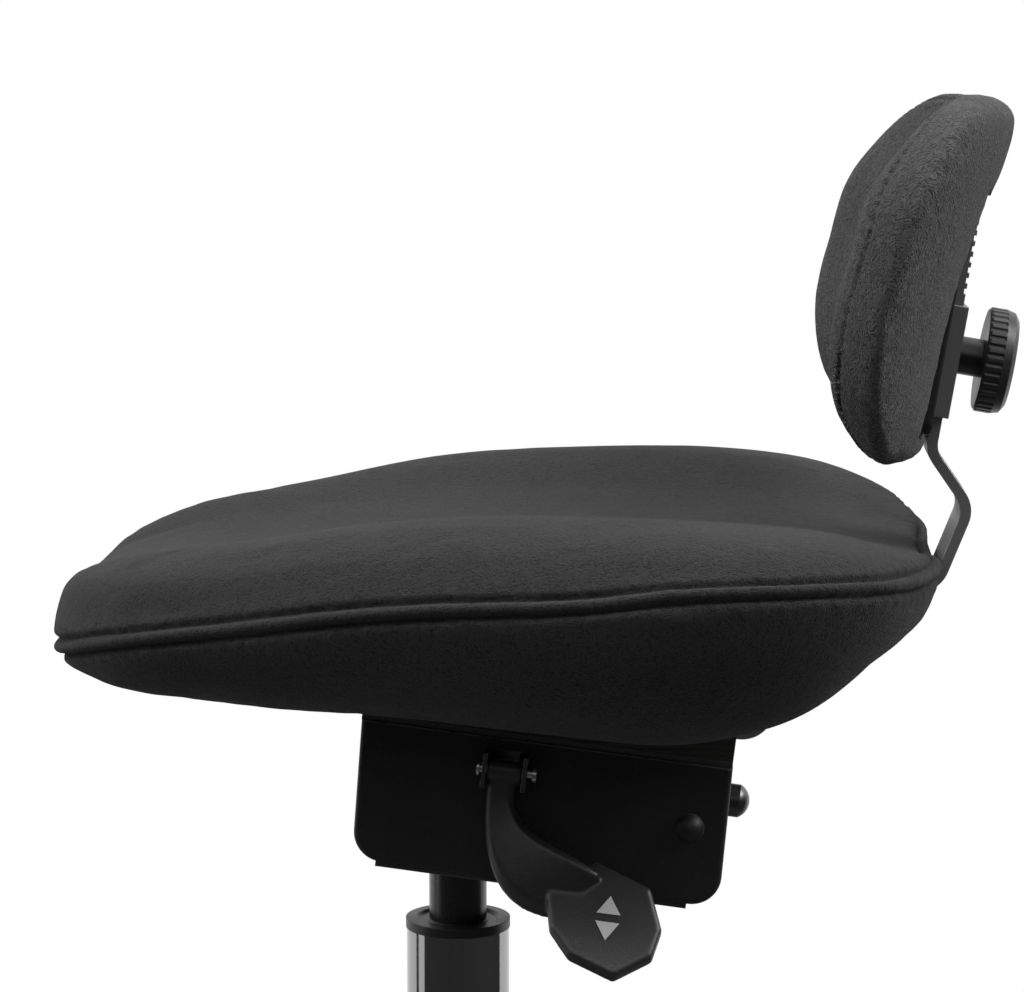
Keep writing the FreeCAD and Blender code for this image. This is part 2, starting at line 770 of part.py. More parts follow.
bars, sleeves = [], []
for which in ("front", "rear"):
    back, rise = stop_place(which)
    bars.append(rod(f"{which}_stop_bar", "stop_radius", "cheek_spread * 2 + cheek_thickness * 2", back,
                    "-cheek_spread - cheek_thickness", rise, "y"))
    tube = rod(f"{which}_sleeve_tube", "stop_radius + sleeve_wall", "cheek_spread * 2 - seat_gap * 2", back,
               "-cheek_spread + seat_gap", rise, "y")
    bore = rod(f"{which}_sleeve_bore", "stop_radius + running_gap", "cheek_spread * 2 + overrun * 2", back,
               "-cheek_spread - overrun", rise, "y")
    sleeves.append(cut(f"{which}_sleeve", tube, bore))
seated("stop_bars", group("stop_bars", *bars))
seated("stop_sleeves", group("stop_sleeves", *sleeves))

bearings = []
for name, low in (("near", "-cheek_spread - cheek_thickness"), ("far", "cheek_spread")):
    ring = rod(f"{name}_bearing_ring", "pin_radius + bearing_wall", "cheek_thickness", "", low, "axis_rise",
               "y")
    hole = rod(f"{name}_bearing_bore", "pin_radius + running_gap", "cheek_thickness * 3", "",
               f"{low} - cheek_thickness", "axis_rise", "y")
    bearings.append(cut(f"{name}_bearing", ring, hole))
seated("tilt_bearings", group("tilt_bearings", *bearings))


def dome(name, head, x, y, z, along):
    """A low round bolt head: the part of a ball that stands dome_height out of a face."""
    rise = size("dome_height")
    radius = (size(head) ** 2 + rise ** 2) / (2 * rise)
    brim = math.degrees(math.asin(1 - rise / radius))
    cap = Part.makeSphere(radius, Vector(0, 0, rise - radius), Vector(0, 0, 1), brim, 90, 360)
    thing = shaped(name, cap)
    thing.Placement = Placement(Vector(), Rotation(Vector(0, 0, 1), along))
    bind(thing, spot(x, y, z))
    return thing


side_gap = "housing_width / 2 + seat_gap"
seated("tie_bolt", join(
    "tie_bolt",
    rod("tie_shank", "tie_radius", "housing_width + seat_gap * 2", "tie_back", f"-({side_gap})",
        "tie_height", "y"),
    dome("tie_head_near", "tie_head", "tie_back", f"-({side_gap})", "tie_height", Vector(0, -1, 0)),
    dome("tie_head_far", "tie_head", "tie_back", side_gap, "tie_height", Vector(0, 1, 0)),
))
seated("tension_screw", join(
    "tension_screw",
    rod("tension_shank", "tension_radius", "tension_reach + dome_height",
        "housing_rear - tension_reach + housing_lean",
        "", "tension_height", "x"),
    dome("tension_dome", "tension_head", "housing_rear + dome_height + housing_lean", "", "tension_height",
         Vector(1, 0, 0)),
    rod("tension_washer", "tension_head", "dome_height", "housing_rear + housing_lean", "",
        "tension_height", "x"),
))

# Seat plate, board and bolts

BOARD_WIDTH = "(housing_width - board_inset * 2)"
BOLT_SIDE = "(housing_width / 2 - housing_wall + cheek_spread + cheek_thickness / 2) / 2"
seat_plate = box("seat_plate_blank", "board_front + board_rear", BOARD_WIDTH, "plate_thickness - seat_gap",
                 "-board_front", f"-{BOARD_WIDTH} / 2", "housing_top")
bolt_holes, bolt_parts, board_holes = [], [], []
for back in ("-bolt_front", "bolt_rear"):
    for side in ("-" + BOLT_SIDE, BOLT_SIDE):
        bolt_holes.append(rod("plate_hole", "bolt_radius + running_gap", "plate_thickness * 3", back, side,
                              "housing_top - plate_thickness", "z"))
        board_holes.append(rod("board_hole", "bolt_radius + running_gap", "board_thickness * 0.8", back, side,
                               "housing_top + plate_thickness - overrun", "z"))
        bolt_parts.append(join(
            "seat_bolt",
            rod("bolt_shank", "bolt_radius", "plate_thickness + board_thickness * 0.6", back, side,
                "housing_top"),
            rod("bolt_cap", "bolt_head_radius", "bolt_head", back, side, "housing_top - bolt_head"),
        ))
seated("seat_plate", cut("seat_plate", seat_plate, *bolt_holes))
seated("seat_bolts", group("seat_bolts", *bolt_parts))
board_bottom = "housing_top + plate_thickness"
seat_board = box("seat_board_blank", "board_front + board_rear", BOARD_WIDTH, "board_thickness",
                 "-board_front", f"-{BOARD_WIDTH} / 2", board_bottom)
bar_slot = box("board_slot", "board_front + board_rear", "bar_width + seat_gap * 2",
               "bar_thickness + seat_gap * 2", "bar_tail - seat_gap", "-bar_width / 2 - seat_gap",
               board_bottom + " - seat_gap")
seated("seat_board", cut("seat_board", seat_board, bar_slot, *board_holes))

# Back bar, from under the seat up behind the lumbar rest

bar_level = size("housing_top") + size("plate_thickness") + size("bar_thickness") / 2
lean = Rotation(Vector(0, 1, 0), size("back_lean"))
bar_points = [lean.multVec(Vector(x, 0, z)) for x, z in (
    (size("bar_line"), size("bar_top")),
    (size("bar_line"), size("bar_knee_top")),
    (size("bar_line") + size("bar_knee_back"), size("bar_knee_height")),
    (size("bar_tuck_back"), size("bar_tuck_height")),
)] + [Vector(x, 0, z) for x, z in (
    (size("bar_slope_back"), size("bar_slope_height")),
    (size("bar_entry_back"), bar_level),
    (size("bar_tail"), bar_level),
)]
half_bar = size("bar_thickness") / 2
back_bar = strip(bar_points, size("bar_bend"), -half_bar, half_bar, size("bar_width") / 2)
for i in range(int(size("tooth_count"))):
    notch = Part.makeBox(size("tooth_depth") * 2, size("bar_width") * 2, size("tooth_pitch") / 2)
    notch.translate(Vector(size("bar_line") + half_bar - size("tooth_depth"), -size("bar_width"),
                           size("tooth_first") + size("tooth_pitch") * i))
    notch.rotate(Vector(), Vector(0, 1, 0), size("back_lean"))
    back_bar = back_bar.cut(notch)
seated("back_bar", shaped("back_bar", back_bar))

# Seat cushion: sections across the seat, from the nose to the tail. Each row is
# (place along the seat, half width, lobe crest, dip between the lobes, piping, underside),
# the first as a share of the reach to that side, the width of seat_half_width, the rest of seat_crest.

cushion_shares = [
    (-1.0, 0.16, 0.44, 0.01, 0.415, 0.385),
    (-0.975, 0.34, 0.50, 0.015, 0.435, 0.36),
    (-0.92, 0.52, 0.585, 0.03, 0.462, 0.335),
    (-0.796, 0.67, 0.682, 0.05, 0.51, 0.335),
    (-0.538, 0.80, 0.775, 0.07, 0.596, 0.36),
    (-0.226, 0.91, 0.86, 0.09, 0.705, 0.388),
    (0.158, 0.98, 0.922, 0.10, 0.779, 0.40),
    (0.473, 1.0, 0.966, 0.10, 0.855, 0.415),
    (0.694, 0.95, 0.977, 0.09, 0.887, 0.521),
    (0.865, 0.83, 0.952, 0.07, 0.895, 0.67),
    (0.945, 0.66, 0.93, 0.04, 0.885, 0.739),
    (1.0, 0.36, 0.90, 0.02, 0.87, 0.79),
]


def cushion_section(place, width, crest, dip, piping, under):
    back = place * size("seat_front") if place < 0 else place * size("seat_rear")
    half = width * size("seat_half_width")
    tall = size("seat_crest")
    crest, dip, piping, under = crest * tall, dip * tall, piping * tall, under * tall
    ridge = min(size("ridge_half"), (crest - piping) / 3, (piping - under) / 3)
    groove = min(size("groove_depth"), ridge * 0.9)
    belly = piping - ridge * 1.6
    brow = piping + ridge * 1.6
    near = half - groove
    side = [
        ("line", (half * 0.42, under), None),
        ("arc", (half * 0.99, belly), (half * 0.84, under + (belly - under) * 0.34)),
        ("line", (near, piping - ridge), None),
        ("arc", (near, piping + ridge), (half, piping)),
        ("line", (half * 0.985, brow), None),
        ("arc", (half * 0.70, crest), (half * 0.92, brow + (crest - brow) * 0.66)),
        ("arc", (0, crest - dip), (half * 0.36, crest - dip * 0.74)),
    ]
    last = (0, under)
    steps = []
    for kind, end, middle in side:
        steps.append((kind, last, end, middle))
        last = end
    edges = []
    for sign, order in ((1, steps), (-1, steps[::-1])):
        for kind, one, two, middle in order:
            if sign < 0:
                one, two = two, one
            ends = [Vector(back, sign * y, z) for y, z in (one, two)]
            if kind == "line":
                edges.append(Part.LineSegment(*ends).toShape())
            else:
                edges.append(Part.Arc(ends[0], Vector(back, sign * middle[0], middle[1]), ends[1]).toShape())
    return Part.Wire(edges)


def board_recess():
    """The hollow in the cushion's underside that takes the seat plate and board."""
    gap = size("body_gap")
    board_width = size("housing_width") - size("board_inset") * 2
    corner = Vector(-size("board_front") - gap, -board_width / 2 - gap, 0)
    return Part.makeBox(size("board_front") + size("board_rear") + gap * 2, board_width + gap * 2,
                        size("housing_top") + size("plate_thickness") + size("board_thickness") + gap, corner)


def bar_channel():
    """The open channel under the cushion that the back bar runs through."""
    run = shifted(bar_points[2:6], -half_bar - size("ridge_half"))
    behind = run[0].x + size("seat_rear")
    below = -size("seat_crest")
    corners = [Vector(behind, 0, run[0].z)] + run + [Vector(run[-1].x, 0, below), Vector(behind, 0, below)]
    face = Part.Face(Part.makePolygon(corners + corners[:1]))
    face.translate(Vector(0, -size("channel_half"), 0))
    return face.extrude(Vector(0, 2 * size("channel_half"), 0))


cushion = Part.makeLoft([cushion_section(*place) for place in cushion_shares], True, True)
cushion = cushion.cut([board_recess(), bar_channel()])
seated("seat_cushion", shaped("seat_cushion", cushion))

# Lumbar rest: bracket on the bar, board, pad and clamp knob

bracket = cut(
    "bracket_body",
    box("bracket_block", "bar_thickness + slide_gap * 2 + bracket_wall * 2",
        "bar_width + slide_gap * 2 + bracket_side * 2",
        "bracket_height", "bar_line - bar_thickness / 2 - slide_gap - bracket_wall",
        "-bar_width / 2 - slide_gap - bracket_side", "bracket_foot"),
    box("bracket_slot", "bar_thickness + slide_gap * 2", "bar_width + slide_gap * 2",
        "bracket_height + overrun * 2",
        "bar_line - bar_thickness / 2 - slide_gap", "-bar_width / 2 - slide_gap", "bracket_foot - overrun"),
    rod("bracket_screw_hole", "screw_radius + running_gap", "bracket_wall * 2",
        "bar_line + bar_thickness / 2",
        "", "bracket_foot + knob_rise", "x"),
)
backed("slide_bracket", bracket)

neck_start = "bar_line + bar_thickness / 2 + slide_gap + bracket_wall + body_gap"
knob = revolved("clamp_knob", [
    (neck_start, "screw_radius"),
    (neck_start, "knob_neck_radius"),
    (neck_start + " + knob_neck", "knob_neck_radius"),
    (neck_start + " + knob_neck", "knob_radius - rib_radius"),
    (neck_start + " + knob_neck + rib_radius", "knob_radius"),
    (neck_start + " + knob_neck + knob_grip", "knob_radius"),
    (neck_start + " + knob_neck + knob_grip + knob_cap - knob_round / 2", "knob_radius - overrun"),
    (neck_start + " + knob_neck + knob_grip + knob_cap", "knob_radius - knob_round"),
    (neck_start + " + knob_neck + knob_grip + knob_cap - overrun", "knob_neck_radius"),
    (neck_start + " + knob_neck + knob_grip + knob_cap - overrun", ""),
    (neck_start + " + knob_neck + knob_grip", ""),
    (neck_start + " + knob_neck + knob_grip", "screw_radius"),
], "H_Axis")
doc.recompute()
flutes = []
bracket_rear = size("bar_line") + half_bar + size("slide_gap") + size("bracket_wall")
knob_front = bracket_rear + size("body_gap") + size("knob_neck")
for i in range(int(size("rib_count"))):
    turn = 2 * math.pi * i / size("rib_count")
    reach = size("knob_radius") + size("rib_radius") * 0.4
    place = Vector(knob_front - size("overrun"), reach * math.sin(turn), reach * math.cos(turn))
    flutes.append(Part.makeCylinder(size("rib_radius"), size("knob_grip") + size("overrun"), place,
                                    Vector(1, 0, 0)))
fluted = shaped("fluted_knob", knob.Shape.cut(flutes))
fluted.Placement = Placement(Vector(0, 0, (size("bracket_foot") + size("knob_rise"))), Rotation())
backed("clamp_knob", group("clamp_knob_set", fluted))
backed("clamp_screw", group("clamp_screw", rod(
    "clamp_screw_shank", "screw_radius - running_gap", "bracket_wall + knob_neck + knob_grip",
    "bar_line + bar_thickness / 2 + body_gap", "", "bracket_foot + knob_rise", "x")))

# Pad sections from the foot to the head. Each row is (height, half width, back, thickness),
# as shares of pad_height, pad_half_width, pad_thickness and pad_thickness.

pad_shares = [
    (0.0, 0.50, 0.26, 0.20),
    (0.05, 0.72, 0.08, 0.50),
    (0.16, 0.88, 0.03, 0.87),
    (0.34, 0.97, 0.03, 1.0),
    (0.52, 1.0, -0.03, 1.0),
    (0.70, 0.98, -0.16, 1.09),
    (0.84, 0.90, -0.24, 0.90),
    (0.94, 0.76, -0.28, 0.65),
    (1.0, 0.52, -0.03, 0.19),
]


def pad_section(rise, width, inset, thick):
    """A bean-shaped slice, wrapped forward at its two wings."""
    level = size("pad_foot") + rise * size("pad_height")
    half = width * size("pad_half_width")
    back = size("pad_back") - inset * size("pad_thickness")
    front = back - thick * size("pad_thickness")
    wrap = size("pad_wrap") * width
    deep = back - front

    def at(x, y):
        return Vector(x, y, level)

    def wing(sign):
        return [
            (at(back, 0), at(back - wrap * 0.28, sign * half * 0.5),
             at(back - wrap * 0.85, sign * half * 0.82)),
            (at(back - wrap * 0.85, sign * half * 0.82), at(back - wrap - deep * 0.36, sign * half),
             at(front - wrap * 0.80, sign * half * 0.84)),
            (at(front - wrap * 0.80, sign * half * 0.84), at(front - wrap * 0.26, sign * half * 0.5),
             at(front, 0)),
        ]

    edges = [Part.Arc(*arc).toShape() for arc in wing(1)]
    edges += [Part.Arc(arc[2], arc[1], arc[0]).toShape() for arc in wing(-1)[::-1]]
    return Part.Wire(edges)


pad = Part.makeLoft([pad_section(*place) for place in pad_shares], True, True)
gap = size("body_gap")
pad_face = size("bar_line") - half_bar - size("slide_gap") - size("bracket_wall") - gap
board_box = (size("pad_board_thickness"), size("pad_board_half") * 2, size("pad_board_height"))
board_corner = Vector(pad_face - board_box[0], -size("pad_board_half"), size("pad_board_foot"))
rest_board = Part.makeBox(*board_box, board_corner)
rest_board = rest_board.makeFillet(size("pad_board_thickness"),
                                   [e for e in rest_board.Edges if runs_along(e, Vector(1, 0, 0))])
nest = Part.makeBox(board_box[0] * 9, board_box[1] + gap * 2, board_box[2] + gap * 2,
                    board_corner - Vector(gap, gap, gap))
bar_room = Part.makeBox(board_box[0] * 9, size("bar_width") + size("bracket_side") * 2 + gap * 4,
                        size("bar_top") + size("bar_travel") - size("pad_foot") + size("bar_travel"),
                        Vector(pad_face, -size("bar_width") / 2 - size("bracket_side") - gap * 2,
                               size("pad_foot") - size("bar_travel")))
backed("rest_pad", shaped("rest_pad", pad.cut([nest, bar_room])))
backed("rest_board", shaped("rest_board", rest_board))

# Height lever: pivot ears, pin, boss, finger over the valve, arm and paddle

LEVER_SIDE = "(housing_width / 2 + lever_reach)"
lever_side = size("housing_width") / 2 + size("lever_reach")
ear_reach = "lever_reach + lever_boss_radius"
ears = []
for name, back in (("front", "lever_back - lever_boss_half - body_gap - ear_thickness"),
                   ("rear", "lever_back + lever_boss_half + body_gap")):
    ears.append(box(f"{name}_ear", "ear_thickness", ear_reach, "ear_half_height * 2", back,
                    f"-{LEVER_SIDE} - lever_boss_radius - seat_gap", "lever_height - ear_half_height"))
seated("lever_ears", cut(
    "lever_ears", group("lever_ear_pair", *ears),
    rod("ear_hole", "lever_pin_radius + running_gap", "lever_boss_half * 4",
        "lever_back - lever_boss_half * 2", f"-{LEVER_SIDE}", "lever_height", "x"),
))
seated("lever_pin", join(
    "lever_pin",
    rod("lever_pin_shank", "lever_pin_radius", "lever_boss_half * 3.2", "lever_back - lever_boss_half * 1.6",
        f"-{LEVER_SIDE}", "lever_height", "x"),
    rod("lever_pin_head", "lever_pin_radius * 1.7", "lever_pin_radius * 0.8",
        "lever_back + lever_boss_half * 1.6", f"-{LEVER_SIDE}", "lever_height", "x"),
    rod("lever_pin_clip", "lever_pin_radius * 1.7", "lever_pin_radius * 0.5",
        "lever_back - lever_boss_half * 1.6", f"-{LEVER_SIDE}", "lever_height", "x"),
))

slope = math.radians(size("paddle_slope"))
paddle_normal = Vector(0, -math.sin(slope), math.cos(slope))
paddle_down = Vector(0, -math.cos(slope), -math.sin(slope))
paddle_origin = Vector(size("paddle_left"), -lever_side - size("paddle_reach"), size("paddle_level"))
paddle_outline_shares = [
    (0.0, 0.0), (0.10, 0.43), (0.28, 0.645), (0.66, 0.78),
    (0.95, 0.565), (1.0, 0.31), (0.87, -0.04), (0.405, -0.215),
]


def lever_section(centre, width, thick, across, through):
    """A rectangle with clipped corners, for the lever's arm."""
    half, deep = width / 2, thick / 2
    clip = thick * 0.28
    corners = [(-half + clip, -deep), (half - clip, -deep), (half, -deep + clip), (half, deep - clip),
               (half - clip, deep), (-half + clip, deep), (-half, deep - clip), (-half, -deep + clip)]
    points = [centre + across * a + through * t for a, t in corners]
    return Part.makePolygon(points + points[:1])


def lever_shape():
    span = size("paddle_span")
    points = [paddle_origin + Vector(u * span, 0, 0) + paddle_down * (v * span)
              for u, v in paddle_outline_shares]
    face = Part.Face(Part.makePolygon(points + points[:1]))
    paddle = face.extrude(paddle_normal * -size("paddle_thickness"))
    paddle = paddle.makeFillet(size("paddle_round"), paddle.Edges)
    boss_radius = size("lever_boss_radius")
    half_boss = size("lever_boss_half")
    pivot = Vector(size("lever_back"), -lever_side, size("lever_height"))
    barrel = Part.makeCylinder(boss_radius, half_boss * 2, pivot - Vector(half_boss, 0, 0), Vector(1, 0, 0))
    side = Vector(1, 0, 0)
    out = Vector(0, -1, 0)
    fall = Vector(0.55, -0.25, -0.45).normalize()
    over = Vector(0.62, 0, 0.78)
    middle = paddle_normal * (size("paddle_thickness") / 2)
    neck = paddle_origin + Vector(span * 0.30, 0, 0) + paddle_down * (span * 0.10) - middle
    drop = pivot.z - neck.z
    sections = [
        lever_section(pivot, half_boss * 1.8, boss_radius * 1.6, side, out),
        lever_section(pivot + Vector(0, -drop * 0.02, -drop * 0.30), half_boss * 1.7, boss_radius * 1.7,
                      side, out),
        lever_section(pivot + Vector(drop * 0.14, -drop * 0.10, -drop * 0.62), half_boss * 2.9,
                      boss_radius * 2.0,
                      Vector(0.9, 0, 0.43), Vector(0, -0.95, 0.31)),
        lever_section(neck, half_boss * 3.4, size("paddle_thickness") * 0.96, over.normalize(),
                      paddle_normal),
    ]
    arm = Part.makeLoft(sections, True, False)
    finger_half = size("finger_half_width")
    under = size("finger_thickness") / 2
    neck_long = size("finger_neck")
    finger = Part.makeBox(finger_half * 2, neck_long, under * 2, pivot - Vector(finger_half, 0, under))
    tip = Part.makeBox(finger_half * 2 + size("finger_lead"), lever_side + size("finger_tip") - neck_long,
                       under * 2, pivot + Vector(-finger_half - size("finger_lead"), neck_long, -under))
    lever = barrel.fuse([arm, paddle, finger, tip])
    hole = Part.makeCylinder(size("lever_pin_radius") + size("running_gap"), half_boss * 4,
                             pivot - Vector(half_boss * 2, 0, 0), side)
    return lever.cut(hole).removeSplitter()


seated("height_lever", shaped("height_lever", lever_shape()))

# Checks and export

doc.recompute()
for thing in doc.Objects:
    if "Invalid" in thing.State or "Error" in thing.State:
        raise RuntimeError(f"{thing.Label} did not compute: {thing.State}")
for name, thing in nodes.items():
    if thing.Shape.isNull() or not thing.Shape.isValid() or not thing.Shape.Solids:
        raise RuntimeError(f"{name} has no valid shape")

os.makedirs("parts", exist_ok=True)
for name, thing in nodes.items():
    thing.Shape.exportStep(f"parts/{name}.step")
    solids = thing.Shape.Solids
    print(name, len(solids), "solids", round(sum(solid.Volume for solid in solids)), "mm3")
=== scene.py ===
import json
import math
import bmesh
import bpy
from mathutils import Matrix, Vector, noise
from mathutils.bvhtree import BVHTree
from mathutils.kdtree import KDTree


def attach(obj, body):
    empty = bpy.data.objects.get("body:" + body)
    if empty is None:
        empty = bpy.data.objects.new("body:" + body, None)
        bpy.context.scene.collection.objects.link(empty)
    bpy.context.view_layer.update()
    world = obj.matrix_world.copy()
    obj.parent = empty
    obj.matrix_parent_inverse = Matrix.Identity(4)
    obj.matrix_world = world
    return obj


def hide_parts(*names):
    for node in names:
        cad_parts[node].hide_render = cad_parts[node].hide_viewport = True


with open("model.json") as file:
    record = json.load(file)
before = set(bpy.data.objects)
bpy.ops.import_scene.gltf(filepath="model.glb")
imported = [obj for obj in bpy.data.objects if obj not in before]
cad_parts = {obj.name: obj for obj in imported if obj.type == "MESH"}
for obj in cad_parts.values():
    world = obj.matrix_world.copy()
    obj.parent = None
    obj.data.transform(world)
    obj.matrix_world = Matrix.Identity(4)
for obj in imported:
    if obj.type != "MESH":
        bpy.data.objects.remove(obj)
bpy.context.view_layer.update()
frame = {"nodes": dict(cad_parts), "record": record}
nodes = frame["nodes"]

# The seat leans back 7 degrees at rest. Its pieces are placed in its own frame, in millimetres,
# and those of the back in a frame that leans a little more.
seatFrame = {"back": 12.0, "height": 348.0, "tilt": 7.0, "backLean": 2.5}


def leaned(extra=0.0):
    return (Matrix.Translation((seatFrame["back"] / 1000, 0, seatFrame["height"] / 1000))
            @ Matrix.Rotation(math.radians(seatFrame["tilt"] + extra), 4, "Y") @ Matrix.Scale(0.001, 4))


seatMatrix = leaned()
backMatrix = leaned(seatFrame["backLean"])


# Camera, where the photograph was taken from
camera = {
    "place": (0.1313, -1.508, 0.7055), "forward": (-0.06884, 0.98946, -0.12741),
    "right": (0.99759, 0.06941, 0.0), "focal": 3182.4, "sensor": 36.0, "pixels": 1024, "farthest": 50,
}


def placeCamera():
    data = bpy.data.cameras.new("mainCamera")
    data.sensor_fit = "HORIZONTAL"
    data.sensor_width = camera["sensor"]
    data.lens = camera["focal"] / camera["pixels"] * camera["sensor"]
    data.clip_end = camera["farthest"]
    view = bpy.data.objects.new("mainCamera", data)
    bpy.context.scene.collection.objects.link(view)
    forward = Vector(camera["forward"]).normalized()
    right = Vector(camera["right"]).normalized()
    turn = Matrix((right, right.cross(forward), -forward)).transposed()
    view.matrix_world = Matrix.Translation(camera["place"]) @ turn.to_4x4()
    bpy.context.scene.camera = view


placeCamera()
print("camera placed")

# Node helpers and the effects that several finishes share


def addNode(tree, kind, values=None, **settings):
    made = tree.nodes.new("ShaderNode" + kind)
    for key, value in settings.items():
        setattr(made, key, value)
    for key, value in (values or {}).items():
        if isinstance(value, bpy.types.NodeSocket):
            tree.links.new(value, made.inputs[key])
        else:
            made.inputs[key].default_value = value
    return made


def startGroup(name, inputs, outputs):
    tree = bpy.data.node_groups.new(name, "ShaderNodeTree")
    for label, value in inputs.items():
        kind = "NodeSocketColor" if isinstance(value, tuple) else "NodeSocketFloat"
        socket = tree.interface.new_socket(name=label, in_out="INPUT", socket_type=kind)
        socket.default_value = value
    for label, kind in outputs.items():
        tree.interface.new_socket(name=label, in_out="OUTPUT", socket_type="NodeSocket" + kind)
    return tree, tree.nodes.new("NodeGroupInput").outputs, tree.nodes.new("NodeGroupOutput").inputs


def math2(tree, operation, first, second, clamp=False):
    return addNode(tree, "Math", {0: first, 1: second}, operation=operation, use_clamp=clamp).outputs[0]


# Shares of threads, fibre, nap, clouds and lint in the cloth's colour and height
weave = {"fibreScale": 3.1, "threadFleck": 0.7, "fibreFleck": 0.5, "lintFleck": 0.8, "cloudShade": 0.45,
         "leastShade": 0.55, "threadHeight": 0.8, "fibreHeight": 0.35, "napHeight": 0.4}
# Wear of the edges: the edge's share beside the patches, how far the amount lowers the gate, how
# sharply the bare spots end, their width for the edge's roundness, and the brightness that is metal
edgeWear = {"edge": 0.55, "gate": 0.6, "sharp": 9.0, "width": 1.6, "bareMetal": 0.25}


def makeClothWeave():
    # crepe cloth: short curled threads, a finer fibre, and slow clouds where the nap lies another way
    inputs = {"Base": (0.01, 0.01, 0.01, 1), "Fleck": (0.1, 0.1, 0.1, 1), "Threads": 400.0, "Flecks": 0.5}
    tree, given, out = startGroup("clothWeave", inputs, {"Color": "Color", "Height": "Float"})
    place = addNode(tree, "TexCoord").outputs["Object"]
    curl = addNode(tree, "TexNoise", {"Vector": place, "Scale": given["Threads"], "Detail": 1.5,
                                      "Roughness": 0.5, "Distortion": 1.6}).outputs[0]
    ridge = math2(tree, "ABSOLUTE", math2(tree, "SUBTRACT", curl, 0.5), 0.0)
    ridge = addNode(tree, "MapRange", {"Value": ridge, "From Min": 0.0, "From Max": 0.16, "To Min": 1.0,
                                       "To Max": 0.0}).outputs[0]
    fine = math2(tree, "MULTIPLY", given["Threads"], weave["fibreScale"])
    fibre, nap, cloud, lint = (
        addNode(tree, "TexNoise", {"Vector": place, "Scale": scale, "Detail": detail,
                                   "Roughness": rough}).outputs[0]
        for scale, detail, rough in ((fine, 3, 0.65), (42.0, 3, 0.6), (8.0, 2, 0.5), (230.0, 2, 0.8)))
    lint = addNode(tree, "MapRange", {"Value": lint, "From Min": 0.66, "From Max": 0.76}).outputs[0]
    mask = math2(tree, "ADD", math2(tree, "MULTIPLY", ridge, weave["threadFleck"]),
                 math2(tree, "MULTIPLY", fibre, weave["fibreFleck"]))
    mask = math2(tree, "MULTIPLY", mask, given["Flecks"])
    mask = math2(tree, "MAXIMUM", mask, math2(tree, "MULTIPLY", lint, weave["lintFleck"]))
    shade = math2(tree, "MULTIPLY", math2(tree, "ADD", nap, cloud), weave["cloudShade"])
    shade = math2(tree, "ADD", shade, weave["leastShade"])
    mixed = addNode(tree, "Mix", {0: mask, 6: given["Base"], 7: given["Fleck"]}, data_type="RGBA")
    tint = addNode(tree, "Mix", {0: 1.0, 6: mixed.outputs[2], 7: shade}, data_type="RGBA",
                   blend_type="MULTIPLY")
    tree.links.new(tint.outputs[2], out["Color"])
    height = math2(tree, "ADD", math2(tree, "MULTIPLY", ridge, weave["threadHeight"]),
                   math2(tree, "MULTIPLY", fibre, weave["fibreHeight"]))
    height = math2(tree, "ADD", height, math2(tree, "MULTIPLY", nap, weave["napHeight"]))
    tree.links.new(height, out["Height"])
    return tree


def makeEdgeWear():
    # bare patches along the sharp edges, where the rounded normal leaves the flat one
    inputs = {"Radius": 0.001, "Amount": 0.5, "Patch": 90.0}
    tree, given, out = startGroup("edgeWear", inputs, {"Mask": "Float"})
    soft = addNode(tree, "Bevel", {"Radius": given["Radius"]}, samples=4).outputs[0]
    flat = addNode(tree, "NewGeometry").outputs["Normal"]
    level = addNode(tree, "VectorMath", {0: soft, 1: flat}, operation="DOT_PRODUCT").outputs["Value"]
    edge = addNode(tree, "MapRange", {"Value": level, "From Min": 0.995, "From Max": 0.90}).outputs[0]
    place = addNode(tree, "TexCoord").outputs["Object"]
    patch = addNode(tree, "TexNoise", {"Vector": place, "Scale": given["Patch"], "Detail": 5,
                                       "Roughness": 0.75}).outputs[0]
    gate = math2(tree, "SUBTRACT", 1.0, math2(tree, "MULTIPLY", given["Amount"], edgeWear["gate"]))
    worn = math2(tree, "ADD", math2(tree, "MULTIPLY", edge, edgeWear["edge"]), patch)
    worn = math2(tree, "MULTIPLY", math2(tree, "SUBTRACT", worn, gate), edgeWear["sharp"], True)
    tree.links.new(math2(tree, "MULTIPLY", worn, edge), out["Mask"])
    return tree


def makeSurfaceGrain():
    tree, given, out = startGroup("surfaceGrain", {"Scale": 1500.0, "Waves": 0.2}, {"Height": "Float"})
    place = addNode(tree, "TexCoord").outputs["Object"]
    fine = addNode(tree, "TexNoise", {"Vector": place, "Scale": given["Scale"], "Detail": 2}).outputs[0]
    wide = addNode(tree, "TexNoise", {"Vector": place, "Scale": 45.0, "Detail": 2}).outputs[0]
    tree.links.new(math2(tree, "ADD", fine, math2(tree, "MULTIPLY", wide, given["Waves"])), out["Height"])
    return tree


